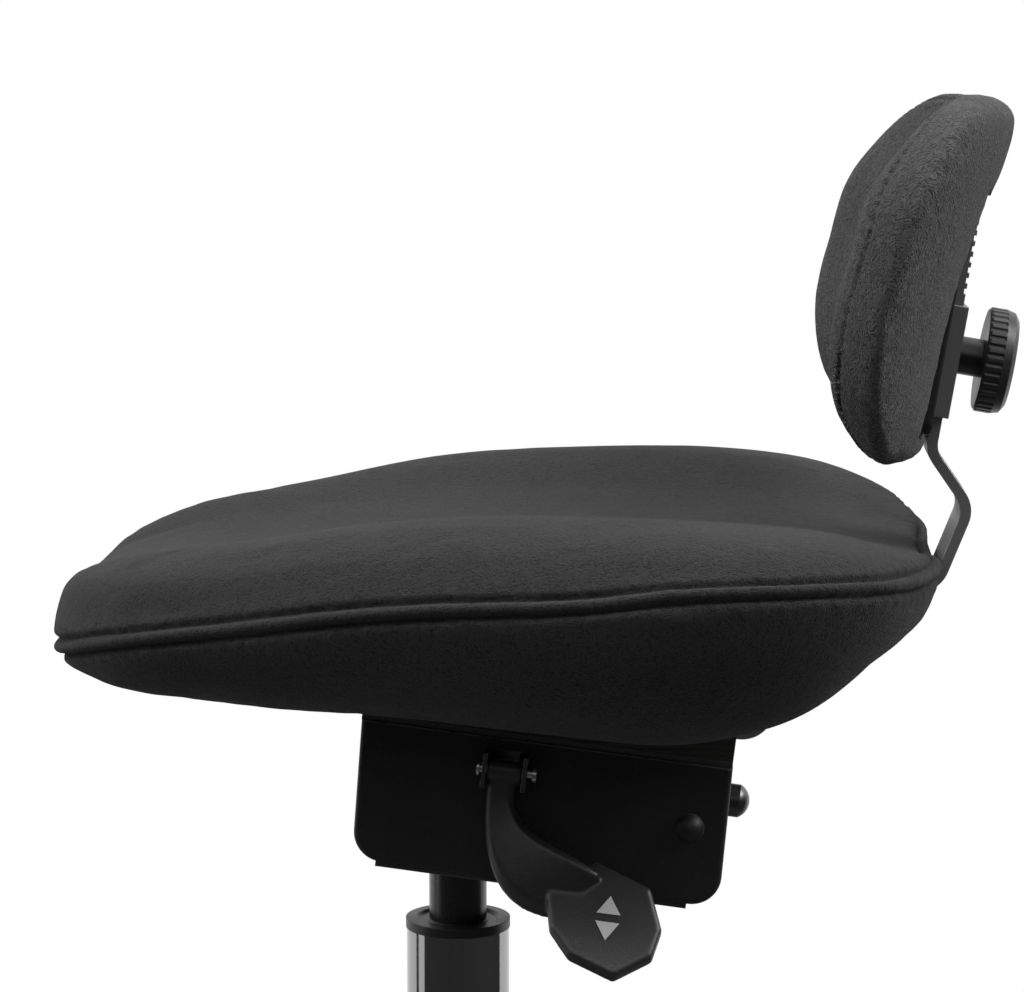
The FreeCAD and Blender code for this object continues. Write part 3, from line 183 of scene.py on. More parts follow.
def makeHandling():
    tree, given, out = startGroup(
        "handling", {"Low": 0.3, "High": 0.5, "Dust": 0.1, "Base": (0.02, 0.02, 0.02, 1)},
        {"Roughness": "Float", "Color": "Color"})
    place = addNode(tree, "TexCoord").outputs["Object"]
    smear = addNode(tree, "TexNoise", {"Vector": place, "Scale": 26.0, "Detail": 4, "Roughness": 0.6,
                                       "Distortion": 0.4}).outputs[0]
    rough = addNode(tree, "MapRange", {"Value": smear, "From Min": 0.3, "From Max": 0.7,
                                       "To Min": given["Low"], "To Max": given["High"]}).outputs[0]
    tree.links.new(rough, out["Roughness"])
    dust = addNode(tree, "TexNoise", {"Vector": place, "Scale": 320.0, "Detail": 3,
                                      "Roughness": 0.8}).outputs[0]
    dust = addNode(tree, "MapRange", {"Value": dust, "From Min": 0.58, "From Max": 0.8}).outputs[0]
    dust = math2(tree, "MULTIPLY", dust, given["Dust"])
    tint = addNode(tree, "Mix", {0: dust, 6: given["Base"], 7: (0.3, 0.3, 0.29, 1)}, data_type="RGBA")
    tree.links.new(tint.outputs[2], out["Color"])
    return tree


def makeWoodGrain():
    inputs = {"Light": (0.034, 0.030, 0.027, 1), "Dark": (0.014, 0.012, 0.011, 1)}
    tree, given, out = startGroup("woodGrain", inputs, {"Color": "Color", "Height": "Float"})
    place = addNode(tree, "TexCoord").outputs["Object"]
    plies = addNode(tree, "TexWave", {"Vector": place, "Scale": 110.0, "Distortion": 1.5, "Detail": 2.0},
                    bands_direction="Z").outputs["Fac"]
    streak = addNode(tree, "TexNoise", {"Vector": place, "Scale": 160.0, "Detail": 4}).outputs[0]
    mask = math2(tree, "MULTIPLY", plies, streak)
    mixed = addNode(tree, "Mix", {0: mask, 6: given["Light"], 7: given["Dark"]}, data_type="RGBA")
    tree.links.new(mixed.outputs[2], out["Color"])
    tree.links.new(plies, out["Height"])
    return tree


groups = {"weave": makeClothWeave(), "wear": makeEdgeWear(), "grain": makeSurfaceGrain(),
          "handling": makeHandling(), "wood": makeWoodGrain()}


def useGroup(tree, name, **values):
    made = tree.nodes.new("ShaderNodeGroup")
    made.node_tree = groups[name]
    for key, value in values.items():
        made.inputs[key].default_value = value
    return made.outputs


def startMaterial(name, **values):
    material = bpy.data.materials.new(name)
    material.use_nodes = True
    tree = material.node_tree
    shader = tree.nodes["Principled BSDF"]
    for key, value in values.items():
        shader.inputs[key.replace("_", " ")].default_value = value
    return material, tree, shader


def grey(level):
    return (level, level, level, 1)


def bumpInto(tree, shader, height, distance, normal=None):
    values = {"Height": height, "Distance": distance, "Strength": 1.0}
    if normal:
        values["Normal"] = normal
    tree.links.new(addNode(tree, "Bump", values).outputs[0], shader.inputs["Normal"])


def makeCloth(name, base, fleck, threads, flecks, sheen, depth):
    material, tree, shader = startMaterial(
        name, Roughness=0.92, Sheen_Weight=sheen, Sheen_Roughness=0.45, Specular_IOR_Level=0.25)
    woven = useGroup(tree, "weave", Base=base, Fleck=fleck, Threads=threads, Flecks=flecks)
    tree.links.new(woven["Color"], shader.inputs["Base Color"])
    bumpInto(tree, shader, woven["Height"], depth)
    return material


# For each hard finish: base colour, roughness from and to, metal, scale and depth of the grain,
# wear of the edges and what shows through it, how round the edges look, and dust
hardFinishes = {
    "housingBlack": dict(base=grey(0.014), rough=(0.46, 0.60), metal=0.0, grain=(900, 0.00012), wear=0.16,
                         bare=grey(0.16), edge=0.0009, dust=0.10),
    # The bar's mid-grey base and its bare patches on nearly every edge are partly chipped paint and partly
    # painted highlight: they stand in for the light on the bar's lit face and edges.
    "barBlack": dict(base=grey(0.200), rough=(0.30, 0.48), metal=0.0, grain=(700, 0.00008), wear=0.95,
                     bare=grey(0.45), edge=0.0007, dust=0.08),
    "blackSteel": dict(base=grey(0.040), rough=(0.38, 0.55), metal=0.0, grain=(800, 0.00008), wear=0.25,
                       bare=grey(0.3), edge=0.0005, dust=0.08),
    "castBlock": dict(base=grey(0.05), rough=(0.55, 0.75), metal=0.4, grain=(420, 0.0004), wear=0.3,
                      bare=grey(0.3), edge=0.0012, dust=0.1),
    "zincSteel": dict(base=grey(0.62), rough=(0.22, 0.40), metal=1.0, grain=(1200, 0.00003), wear=0.0,
                      bare=grey(0.6), edge=0.0003, dust=0.05),
    "screwSteel": dict(base=grey(0.14), rough=(0.30, 0.42), metal=1.0, grain=(900, 0.00005), wear=0.0,
                       bare=grey(0.3), edge=0.0003, dust=0.05),
    "bronze": dict(base=(0.5, 0.32, 0.12, 1), rough=(0.35, 0.5), metal=1.0, grain=(1000, 0.00005), wear=0.0,
                   bare=grey(0.4), edge=0.0003, dust=0.05),
    "chromePlate": dict(base=grey(0.33), rough=(0.05, 0.12), metal=1.0, grain=(300, 0.00001), wear=0.0,
                        bare=grey(0.7), edge=0.0006, dust=0.03),
    "liftBlack": dict(base=grey(0.024), rough=(0.20, 0.32), metal=0.0, grain=(900, 0.00003), wear=0.0,
                      bare=grey(0.3), edge=0.0004, dust=0.05),
    "collarBlack": dict(base=grey(0.018), rough=(0.34, 0.46), metal=0.0, grain=(1400, 0.00006), wear=0.0,
                        bare=grey(0.1), edge=0.0008, dust=0.06),
    "leverGrey": dict(base=grey(0.036), rough=(0.34, 0.46), metal=0.0, grain=(1600, 0.00009), wear=0.12,
                      bare=grey(0.09), edge=0.0012, dust=0.10),
    "knobBlack": dict(base=grey(0.034), rough=(0.30, 0.42), metal=0.0, grain=(900, 0.00003), wear=0.10,
                      bare=grey(0.07), edge=0.0007, dust=0.08),
    "mouldedBlack": dict(base=grey(0.016), rough=(0.42, 0.56), metal=0.0, grain=(1300, 0.00014), wear=0.12,
                         bare=grey(0.06), edge=0.0016, dust=0.12),
    "wheelBlack": dict(base=grey(0.020), rough=(0.45, 0.62), metal=0.0, grain=(1100, 0.00010), wear=0.2,
                       bare=grey(0.07), edge=0.0010, dust=0.18),
    "zipNylon": dict(base=grey(0.06), rough=(0.4, 0.55), metal=0.0, grain=(2000, 0.00002), wear=0.0,
                     bare=grey(0.2), edge=0.0001, dust=0.1),
    "rubberBlack": dict(base=grey(0.018), rough=(0.7, 0.85), metal=0.0, grain=(900, 0.0001), wear=0.0,
                        bare=grey(0.1), edge=0.0006, dust=0.1),
}


def makeHard(name, base, rough, metal, grain, wear, bare, edge, dust):
    material, tree, shader = startMaterial(name, Metallic=metal)
    handled = useGroup(tree, "handling", Low=rough[0], High=rough[1], Dust=dust, Base=base)
    tree.links.new(handled["Roughness"], shader.inputs["Roughness"])
    colour = handled["Color"]
    if wear:
        worn = useGroup(tree, "wear", Radius=edge * edgeWear["width"], Amount=wear)["Mask"]
        colour = addNode(tree, "Mix", {0: worn, 6: colour, 7: bare}, data_type="RGBA").outputs[2]
        if bare[0] > edgeWear["bareMetal"]:
            tree.links.new(math2(tree, "MAXIMUM", worn, metal), shader.inputs["Metallic"])
    tree.links.new(colour, shader.inputs["Base Color"])
    soft = addNode(tree, "Bevel", {"Radius": edge}, samples=6).outputs[0]
    bumpInto(tree, shader, useGroup(tree, "grain", Scale=float(grain[0]))["Height"], grain[1], normal=soft)
    return material


# For each cloth: base and fleck colour, scale of the threads, share of flecks, sheen, depth of the weave
cloths = {
    "seatCloth": dict(base=grey(0.014), fleck=grey(0.075), threads=400.0, flecks=0.50, sheen=0.10,
                      depth=0.00045),
    "restCloth": dict(base=grey(0.017), fleck=grey(0.150), threads=340.0, flecks=0.78, sheen=0.20,
                      depth=0.0011),
}
finishes = {name: makeHard(name, **values) for name, values in hardFinishes.items()}
for name, values in cloths.items():
    finishes[name] = makeCloth(name, **values)


def makePlywood():
    material, tree, shader = startMaterial("plywood", Roughness=0.6)
    grain = useGroup(tree, "wood")
    tree.links.new(grain["Color"], shader.inputs["Base Color"])
    bumpInto(tree, shader, grain["Height"], distance=0.0002)
    return material


def makePrint():
    material, tree, shader = startMaterial("whitePrint")
    handled = useGroup(tree, "handling", Low=0.45, High=0.6, Dust=0.2, Base=grey(0.80))
    tree.links.new(handled["Color"], shader.inputs["Base Color"])
    tree.links.new(handled["Roughness"], shader.inputs["Roughness"])
    return material


finishes["plywood"] = makePlywood()
finishes["whitePrint"] = makePrint()

slotFinishes = {
    "housing_black": "housingBlack", "bar_black": "barBlack", "black_steel": "blackSteel",
    "cast_block": "castBlock", "zinc_steel": "zincSteel", "rod_steel": "zincSteel",
    "bearing_bronze": "bronze", "plywood": "plywood", "moulded_black": "mouldedBlack",
    "lever_grey": "leverGrey", "knob_black": "knobBlack", "collar_black": "collarBlack",
    "lift_black": "liftBlack", "column_chrome": "chromePlate", "wheel_black": "wheelBlack",
    "black_rubber": "rubberBlack", "seat_fabric": "seatCloth", "rest_fabric": "restCloth",
}
for row in frame["record"]["subparts"]:
    mesh = nodes[row["node"]].data
    mesh.materials.clear()
    mesh.materials.append(finishes[slotFinishes[row["material_slot"]]])
nodes["tension_screw"].data.materials[0] = finishes["screwSteel"]
print("finishes made:", len(finishes))


# New pieces


def finish(piece, body, material, stands=()):
    piece.data.materials.clear()
    piece.data.materials.append(finishes[material])
    for face in piece.data.polygons:
        face.use_smooth = True
    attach(piece, body)
    if stands:
        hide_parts(*stands)


def newPiece(name, mesh):
    piece = bpy.data.objects.new(name, mesh)
    bpy.context.scene.collection.objects.link(piece)
    return piece


def fromShape(name, shape):
    mesh = bpy.data.meshes.new(name)
    shape.to_mesh(mesh)
    shape.free()
    return newPiece(name, mesh)


# Soft goods: a copy of the CAD solid is remeshed, laid on a smooth body through its drawn sections,
# swollen as cloth, then given its seams

clothRun = {"frames": 10, "quality": 4, "mass": 0.4, "stretch": 18, "bend": 1.2}
relaxRounds = 8
weldWithin = 0.00002


def settled(piece):
    # makes what the piece's modifiers show its own mesh
    bpy.context.view_layer.update()
    graph = bpy.context.evaluated_depsgraph_get()
    mesh = bpy.data.meshes.new_from_object(piece.evaluated_get(graph))
    piece.modifiers.clear()
    old = piece.data
    piece.data = mesh
    bpy.data.meshes.remove(old)


def relaxed(piece, strength):
    # rounds the solid's straight facets off and keeps its volume
    smooth = piece.modifiers.new("relaxed", "LAPLACIANSMOOTH")
    smooth.iterations = relaxRounds
    smooth.lambda_factor = strength
    smooth.use_volume_preserve = True
    settled(piece)


def slopeAt(places, values, index):
    # the slope of the smooth line at one of its marks
    if index == 0 or index == len(places) - 1:
        index = max(index, 1)
        return (values[index] - values[index - 1]) / (places[index] - places[index - 1])
    before = places[index] - places[index - 1]
    after = places[index + 1] - places[index]
    one = (values[index] - values[index - 1]) / before
    two = (values[index + 1] - values[index]) / after
    return (one * after + two * before) / (before + after)


def smoothRun(rows, count, closed=False):
    # evenly spaced rows on a smooth line through the given ones
    if closed:
        rows = rows[-1:] + rows + rows[:2]
    steps = [0.0]
    for one, two in zip(rows, rows[1:]):
        steps.append(steps[-1] + math.dist(one, two))
    first, last = (steps[1], steps[-2]) if closed else (0.0, steps[-1])
    run = []
    for index in range(count):
        want = first + (last - first) * index / (count if closed else count - 1)
        row = max(i for i in range(len(rows) - 1) if steps[i] <= want)
        span = steps[row + 1] - steps[row]
        t = (want - steps[row]) / span
        made = []
        for column in zip(*rows):
            rise = column[row + 1] - column[row]
            one = slopeAt(steps, column, row) * span
            two = slopeAt(steps, column, row + 1) * span
            bow = t * (1 - t) * ((1 - t) * (one - rise) - t * (two - rise))
            made.append(column[row] + t * rise + bow)
        run.append(made)
    return run


def smoothBody(matrix, form):
    # the rounded body that the drawn sections stand for
    shape = bmesh.new()
    loops = []
    for row in smoothRun(form["rows"], form["along"]):
        outline = smoothRun(form["outline"](row), form["around"], True)
        verts = [shape.verts.new(matrix @ Vector(mark)) for mark in outline]
        loops.append([shape.edges.new(pair) for pair in zip(verts, verts[1:] + verts[:1])])
    for one, two in zip(loops, loops[1:]):
        bmesh.ops.bridge_loops(shape, edges=one + two)
    for loop in (loops[0], loops[-1]):
        bmesh.ops.edgeloop_fill(shape, edges=loop)
    bmesh.ops.triangulate(shape, faces=shape.faces)
    tree = BVHTree.FromBMesh(shape)
    shape.free()
    return tree


def rounded(piece, matrix, form):
    # lays the cloth on the rounded body, all the way up to half the reach, and leaves the pockets alone
    tree = smoothBody(matrix, form)
    back = matrix.inverted()
    for vert in piece.data.vertices:
        near, _, _, away = tree.find_nearest(vert.co)
        if not form["pocket"](back @ vert.co):
            share = (form["reach"] - away) / form["reach"] * 2
            vert.co = vert.co.lerp(near, min(max(share, 0.0), 1.0))


def softStart(node, name, how, matrix=None, form=None):
    shape = bmesh.new()
    shape.from_mesh(nodes[node].data)
    bmesh.ops.remove_doubles(shape, verts=shape.verts, dist=weldWithin)
    bmesh.ops.recalc_face_normals(shape, faces=shape.faces)
    piece = fromShape(name, shape)
    remesh = piece.modifiers.new("remesh", "REMESH")
    remesh.mode = "VOXEL"
    remesh.voxel_size = how["voxel"]
    settled(piece)
    if form:
        rounded(piece, matrix, form)
    relaxed(piece, how["relax"])
    shape = bmesh.new()
    shape.from_mesh(piece.data)
    shape.normal_update()
    for vert in shape.verts:
        vert.co -= vert.normal * how["shrink"]
    shape.to_mesh(piece.data)
    shape.free()
    return piece


def puffUp(piece, held, pressure, cap):
    # swells the cloth under pressure, except where it is held, and no farther than the cap
    group = piece.vertex_groups.new(name="held")
    for index, weight in enumerate(held):
        if weight > 0:
            group.add([index], weight, "REPLACE")
    start = [vert.co.copy() for vert in piece.data.vertices]
    cloth = piece.modifiers.new("cloth", "CLOTH")
    settings = cloth.settings
    settings.quality = clothRun["quality"]
    settings.mass = clothRun["mass"]
    settings.tension_stiffness = clothRun["stretch"]
    settings.compression_stiffness = clothRun["stretch"]
    settings.bending_stiffness = clothRun["bend"]
    settings.use_pressure = True
    settings.uniform_pressure_force = pressure
    settings.vertex_group_mass = "held"
    settings.effector_weights.gravity = 0
    cloth.collision_settings.use_collision = False
    scene = bpy.context.scene
    for step in range(clothRun["frames"]):
        scene.frame_set(step + 1)
    settled(piece)
    scene.frame_set(1)
    for vert, first in zip(piece.data.vertices, start):
        move = vert.co - first
        if move.length > cap:
            vert.co = first + move * (cap / move.length)
    piece.vertex_groups.clear()


lineForm = {"resolution": 24, "order": 3, "shortest": 1e-9}
# How the stitches pucker the seam, and how its depth wavers along it
sewing = {"drift": 1.7, "driftScale": 40, "puckerAt": 1.8, "puckerWidth": 2, "waver": 0.25, "waverScale": 25}


def seamLine(name, points, count, closed=True):
    # evenly spaced points along a smooth line near the seam's few marks
    curve = bpy.data.curves.new(name, "CURVE")
    curve.dimensions = "3D"
    curve.resolution_u = lineForm["resolution"]
    spline = curve.splines.new("NURBS")
    spline.points.add(len(points) - 1)
    for point, mark in zip(spline.points, points):
        point.co = (*mark, 1)
    spline.order_u = lineForm["order"]
    spline.use_cyclic_u = closed
    spline.use_endpoint_u = not closed
    holder = newPiece(name, curve)
    graph = bpy.context.evaluated_depsgraph_get()
    mesh = bpy.data.meshes.new_from_object(holder.evaluated_get(graph))
    line = [vert.co.copy() for vert in mesh.vertices]
    bpy.data.objects.remove(holder)
    bpy.data.curves.remove(curve)
    bpy.data.meshes.remove(mesh)
    if closed:
        line.append(line[0])
    lengths = [0.0]
    for one, two in zip(line, line[1:]):
        lengths.append(lengths[-1] + (two - one).length)
    even = []
    index = 0
    for step in range(count):
        want = lengths[-1] * step / (count if closed else count - 1)
        while index < len(line) - 2 and lengths[index + 1] < want:
            index += 1
        span = max(lengths[index + 1] - lengths[index], lineForm["shortest"])
        share = (want - lengths[index]) / span
        even.append(line[index].lerp(line[index + 1], min(max(share, 0), 1)))
    return even, lengths[-1] / count


def bothSides(half):
    # one half of a line, followed by its mirror image
    return half + [(x, -y, z) for x, y, z in half[::-1] if y]


def lineTree(line):
    tree = KDTree(len(line))
    for index, point in enumerate(line):
        tree.insert(point, index)
    tree.balance()
    return tree


def ontoSurface(piece, line):
    tree = BVHTree.FromObject(piece, bpy.context.evaluated_depsgraph_get())
    return [tree.find_nearest(point)[0] for point in line]


def sewSeam(piece, line, spacing, seam):
    # sinks a groove on both sides of a rounded ridge along the line, puckered by its stitches
    tree = lineTree(line)
    shape = bmesh.new()
    shape.from_mesh(piece.data)
    shape.normal_update()
    moves = []
    for vert in shape.verts:
        near, index, distance = tree.find(vert.co)
        if distance > seam["reach"]:
            continue
        along = index * spacing
        at, width = seam["grooveAt"], seam["grooveWidth"]
        ridge = seam["ridge"] * math.exp(-(distance / seam["ridgeWidth"]) ** 2)
        groove = seam["groove"] * math.exp(-((distance - at) / width) ** 2)
        drift = sewing["drift"] * noise.noise(near * sewing["driftScale"])
        pucker = seam["pucker"] * math.sin(along * math.tau / seam["stitch"] + drift)
        pucker *= math.exp(-((distance - at * sewing["puckerAt"]) / (width * sewing["puckerWidth"])) ** 2)
        wave = 1 + sewing["waver"] * noise.noise(near * sewing["waverScale"])
        moves.append((vert, vert.normal * (ridge - groove * wave + pucker)))
    for vert, move in moves:
        vert.co += move
    shape.to_mesh(piece.data)
    shape.free()


def finerAlong(piece, line, reach):
    # one more subdivision of the cloth beside the seam, so that its groove stays crisp
    tree = lineTree(line)
    shape = bmesh.new()
    shape.from_mesh(piece.data)
    near = [edge for edge in shape.edges
            if all(tree.find(vert.co)[2] < reach for vert in edge.verts)]
    bmesh.ops.subdivide_edges(shape, edges=near, cuts=1, use_grid_fill=True)
    bmesh.ops.triangulate(shape, faces=[face for face in shape.faces if len(face.verts) > 4])
    shape.to_mesh(piece.data)
    shape.free()


def ripple(piece, size, depth, seed):
    # the slow unevenness of foam under cloth
    shape = bmesh.new()
    shape.from_mesh(piece.data)
    shape.normal_update()
    start = Vector((seed, 0, 0))
    moves = [(vert, vert.normal * depth * noise.noise(vert.co / size + start)) for vert in shape.verts]
    for vert, move in moves:
        vert.co += move
    shape.to_mesh(piece.data)
    shape.free()


def finer(piece):
    divide = piece.modifiers.new("finer", "SUBSURF")
    divide.levels = divide.render_levels = 1
    settled(piece)


seatCushion = {
    "voxel": 0.0045, "shrink": 0.0008, "pressure": 4.0, "cap": 0.0012, "fill": 0.75, "relax": 1.6,
    "settle": 0.5, "finer": 0.009, "lineSteps": 900,
    # the foam's slow unevenness: size, depth, where it starts
    "ripple": (0.09, 0.0009, 3.0),
    # half of the piping's line, nose to tail, in the seat frame: along, out, up
    "piping": [(-205, 0, 73), (-204.5, 33, 74), (-201, 70, 77), (-192, 107, 83), (-168.8, 138, 94.5),
               (-114, 164.8, 112), (-48, 187.5, 132.5), (31, 202, 148.5), (92.7, 206, 164.2),
               (136, 196, 169.8), (169.5, 171, 171.3), (185, 136, 169.4), (196, 74, 166.6),
               (196, 36, 166.4)],
    "seam": {"reach": 0.012, "ridge": 0.0016, "ridgeWidth": 0.0026, "groove": 0.0028, "grooveAt": 0.0041,
             "grooveWidth": 0.0015, "pucker": 0.00022, "stitch": 0.009},
    # where the cloth is held: over the board, in the bar's channel, and beside the piping
    "board": {"from": -75, "to": 130, "out": 90, "below": 88.0},
    "channel": {"from": 110, "out": 30, "below": 165},
    "pipingHold": 0.9, "pipingReach": 0.012,
}


# Each outline goes round a section from the middle of its underside or back. Its marks are parts of
# the row's measures, and the other side is their mirror image.


def seatOutline(row):
    x, half, crest, dip, piping, under = row
    side = [(half * 0.42, under), (half * 0.84, under * 0.76 + piping * 0.24),
            (half * 0.985, under * 0.2 + piping * 0.8), (half, piping),
            (half * 0.975, piping * 0.8 + crest * 0.2), (half * 0.92, piping * 0.34 + crest * 0.66),
            (half * 0.70, crest), (half * 0.36, crest - dip * 0.74)]
    marks = [(0, under)] + side + [(0, crest - dip)] + [(-y, z) for y, z in side[::-1]]
    return [(x, y, z) for y, z in marks]


def padOutline(row):
    level, half, back, front, wrap = row
    deep = back - front
    side = [(back - wrap * 0.28, half * 0.5), (back - wrap * 0.85, half * 0.82),
            (back - wrap - deep * 0.36, half), (front - wrap * 0.80, half * 0.84),
            (front - wrap * 0.26, half * 0.5)]
    marks = [(back, 0)] + side + [(front, 0)] + [(x, -y) for x, y in side[::-1]]
    return [(x, y, level) for x, y in marks]


# The hollow for the board with the bar's channel behind it, under a plane that rises to the tail; and
# the hollow for the bracket with the bar's groove up to the head
seatPocket = {"from": -66, "to": 122, "out": 84, "barFrom": 90, "barOut": 31, "top": 78, "nose": -212,
              "rise": 0.2}
padPocket = {"behind": 161, "out": 66, "above": 229, "below": 345, "barBehind": 168, "barOut": 29,
             "barBelow": 375}


def inSeatPocket(spot):
    pocket = seatPocket
    out = pocket["barOut"] if spot.x > pocket["barFrom"] else 0
    if pocket["from"] < spot.x < pocket["to"]:
        out = pocket["out"]
    return abs(spot.y) < out and spot.z < pocket["top"] + (spot.x - pocket["nose"]) * pocket["rise"]


def inPadPocket(spot):
    pocket = padPocket
    level = pocket["above"] < spot.z < pocket["below"]
    byBracket = spot.x > pocket["behind"] and abs(spot.y) < pocket["out"] and level
    byBar = spot.x > pocket["barBehind"] and abs(spot.y) < pocket["barOut"] and spot.z < pocket["barBelow"]
    return byBracket or byBar


# The cushion's and the pad's drawn sections, in their own frames
seatForm = {
    # along, half width, lobe crest, dip between the lobes, piping, underside
    "rows": [(-211.5, 33, 95, 1.9, 88, 82), (-207, 70, 104.5, 2.8, 89, 75), (-195, 107.1, 115, 5.6, 91, 67),
             (-168.8, 138, 127, 9.4, 97, 63.5), (-114.1, 164.8, 142.8, 13.2, 112, 66.5),
             (-47.9, 187.5, 162.5, 16.9, 132.5, 72.5), (31, 201.9, 176.5, 18.8, 146.5, 75.2),
             (92.7, 206, 182.4, 18.8, 160.7, 78), (136, 195.7, 183.7, 16.9, 166.8, 95.5),
             (169.5, 171, 179, 13.2, 168.3, 126), (185.2, 136, 174.8, 7.5, 166.4, 138.9),
             (196, 74.2, 169.2, 3.8, 163.6, 148.5)],
    "along": 64, "around": 96, "reach": 0.020, "outline": seatOutline, "pocket": inSeatPocket,
}
padForm = {
    # level, half width, back, front, wrap
    "rows": [(215.5, 84, 171.5, 160, 13), (224.5, 116, 175.5, 154, 18.7), (245, 140.8, 175.9, 142.8, 22.9),
             (275.3, 155.2, 175.9, 137.9, 25.2), (305.6, 160, 178.1, 140.1, 26),
             (336, 156.8, 183.1, 143.5, 25.5), (359.5, 144, 187.5, 153.0, 23.4),
             (377.5, 123, 189, 162.5, 19.8), (389, 88, 182.5, 171.5, 13.5)],
    "along": 44, "around": 84, "reach": 0.020, "outline": padOutline, "pocket": inPadPocket,
}


def puffAndSew(piece, line, spacing, held, how):
    # what both cushions share once their cloth is laid and their seam's line is drawn
    puffUp(piece, held, how["pressure"], how["cap"])
    relaxed(piece, how["settle"])
    finer(piece)
    line = ontoSurface(piece, line)
    finerAlong(piece, line, how["finer"])
    ripple(piece, *how["ripple"])
    sewSeam(piece, line, spacing, how["seam"])


def makeSeatCushion(how):
    piece = softStart("seat_cushion", "seatCushion", how, seatMatrix, seatForm)
    marks = [seatMatrix @ Vector(mark) for mark in bothSides(how["piping"])]
    line, spacing = seamLine("seatPipingLine", marks, how["lineSteps"])
    tree = lineTree(line)
    back = seatMatrix.inverted()
    board, channel = how["board"], how["channel"]
    held = []
    for vert in piece.data.vertices:
        seam = tree.find(vert.co)[2]
        place = back @ vert.co
        out = abs(place.y)
        onBoard = board["from"] < place.x < board["to"] and out < board["out"] and place.z < board["below"]
        byBar = place.x > channel["from"] and out < channel["out"] and place.z < channel["below"]
        byPiping = max(0.0, how["pipingHold"] - seam / how["pipingReach"])
        held.append(1.0 if onBoard or byBar else byPiping)
    puffAndSew(piece, line, spacing, held, how)
    finish(piece, "seat", "seatCloth", ["seat_cushion"])


makeSeatCushion(seatCushion)
print("seat cushion made")

restPad = {
    "voxel": 0.004, "shrink": 0.0008, "pressure": 4.0, "cap": 0.0012, "fill": 0.7, "relax": 3.4,
    "settle": 0.5, "finer": 0.007, "lineSteps": 700,
    # the foam's slow unevenness: size, depth, where it starts
    "ripple": (0.08, 0.0008, 11.0),
    # half of the welt, head to foot, in the back frame: along, out, up
    "welt": [(166, 0, 392), (164, 45, 388), (157, 80, 382), (148, 106, 371), (138, 120, 362), (130, 131, 349),
             (124, 142, 331), (121, 146, 315), (118, 143, 290), (118.5, 138, 270), (121, 132, 259),
             (125, 122, 244), (131, 113, 235), (141, 101, 227), (153, 76, 221), (161, 44, 219),
             (165, 0, 218)],
    "seam": {"reach": 0.012, "ridge": 0.0, "ridgeWidth": 0.0020, "groove": 0.0018, "grooveAt": 0.0,
             "grooveWidth": 0.0013, "pucker": 0.00025, "stitch": 0.006},
    # where the cloth is held, round the bracket's hollow
    "bracket": {"behind": 160, "out": 70, "above": 222, "below": 350},
}


def makeRestPad(how):
    piece = softStart("rest_pad", "restPad", how, backMatrix, padForm)
    marks = ontoSurface(piece, [backMatrix @ Vector(mark) for mark in bothSides(how["welt"])])
    line, spacing = seamLine("restWeltLine", marks, how["lineSteps"])
    back = backMatrix.inverted()
    bracket = how["bracket"]
    held = []
    for vert in piece.data.vertices:
        place = back @ vert.co
        level = bracket["above"] < place.z < bracket["below"]
        behind = place.x > bracket["behind"] and abs(place.y) < bracket["out"]
        held.append(1.0 if level and behind else 0.0)
    puffAndSew(piece, line, spacing, held, how)
    finish(piece, "backrest", "restCloth", ["rest_pad"])
    return piece


pad = makeRestPad(restPad)
print("lumbar pad made")

# The pad's zip, on the near side of its welt

padZip = {"head": 282.0, "endsAt": 40, "lineSteps": 400, "teeth": 0.0018, "wide": 0.0020, "long": 0.0009,
          "tall": 0.0009, "lift": 0.0004, "bevel": 0.00022}


def makePadZip(pad, how):
    tree = BVHTree.FromObject(pad, bpy.context.evaluated_depsgraph_get())
    low = [(x, -y, z) for x, y, z in restPad["welt"] if z < how["head"] and y > how["endsAt"]]
    line = seamLine("padZipLine", [backMatrix @ Vector(mark) for mark in low], how["lineSteps"], False)[0]
    shape = bmesh.new()
    last = line[0]
    for here in line[1:]:
        if (here - last).length < how["teeth"]:
            continue
        spot, normal = tree.find_nearest(here)[:2]
        way = (here - last).normalized()
        across = normal.cross(way).normalized()
        turn = Matrix((way, across, normal)).transposed().to_4x4()
        tooth = bmesh.ops.create_cube(shape, size=1.0)["verts"]
        bmesh.ops.scale(shape, verts=tooth, vec=(how["long"], how["wide"], how["tall"]))
        place = Matrix.Translation(spot + normal * how["lift"]) @ turn
        bmesh.ops.transform(shape, verts=tooth, matrix=place)
        last = here
    bmesh.ops.bevel(shape, geom=shape.edges[:], offset=how["bevel"], segments=1, profile=0.5,
                    material=-1, affect="EDGES")
    finish(fromShape("padZip", shape), "backrest", "zipNylon")


makePadZip(pad, padZip)

# Small hard pieces

leverForm = {"voxel": 0.0011, "shrink": 0.0, "relax": 1.2}


def makeLeverForm(how):
    # the moulded lever: the solid with its edges rounded over, as it comes out of the mould
    piece = softStart("height_lever", "leverForm", how)
    finish(piece, "lever", "leverGrey", ["height_lever"])


makeLeverForm(leverForm)

leverPrint = {"slope": 50.0, "place": (35.5, -95.0, 5.0), "along": 31.0, "down": 16.0, "lift": 0.15,
              "arrow": 7.5, "narrow": 0.85, "flat": 0.8, "gap": 5.0, "thick": 0.35}


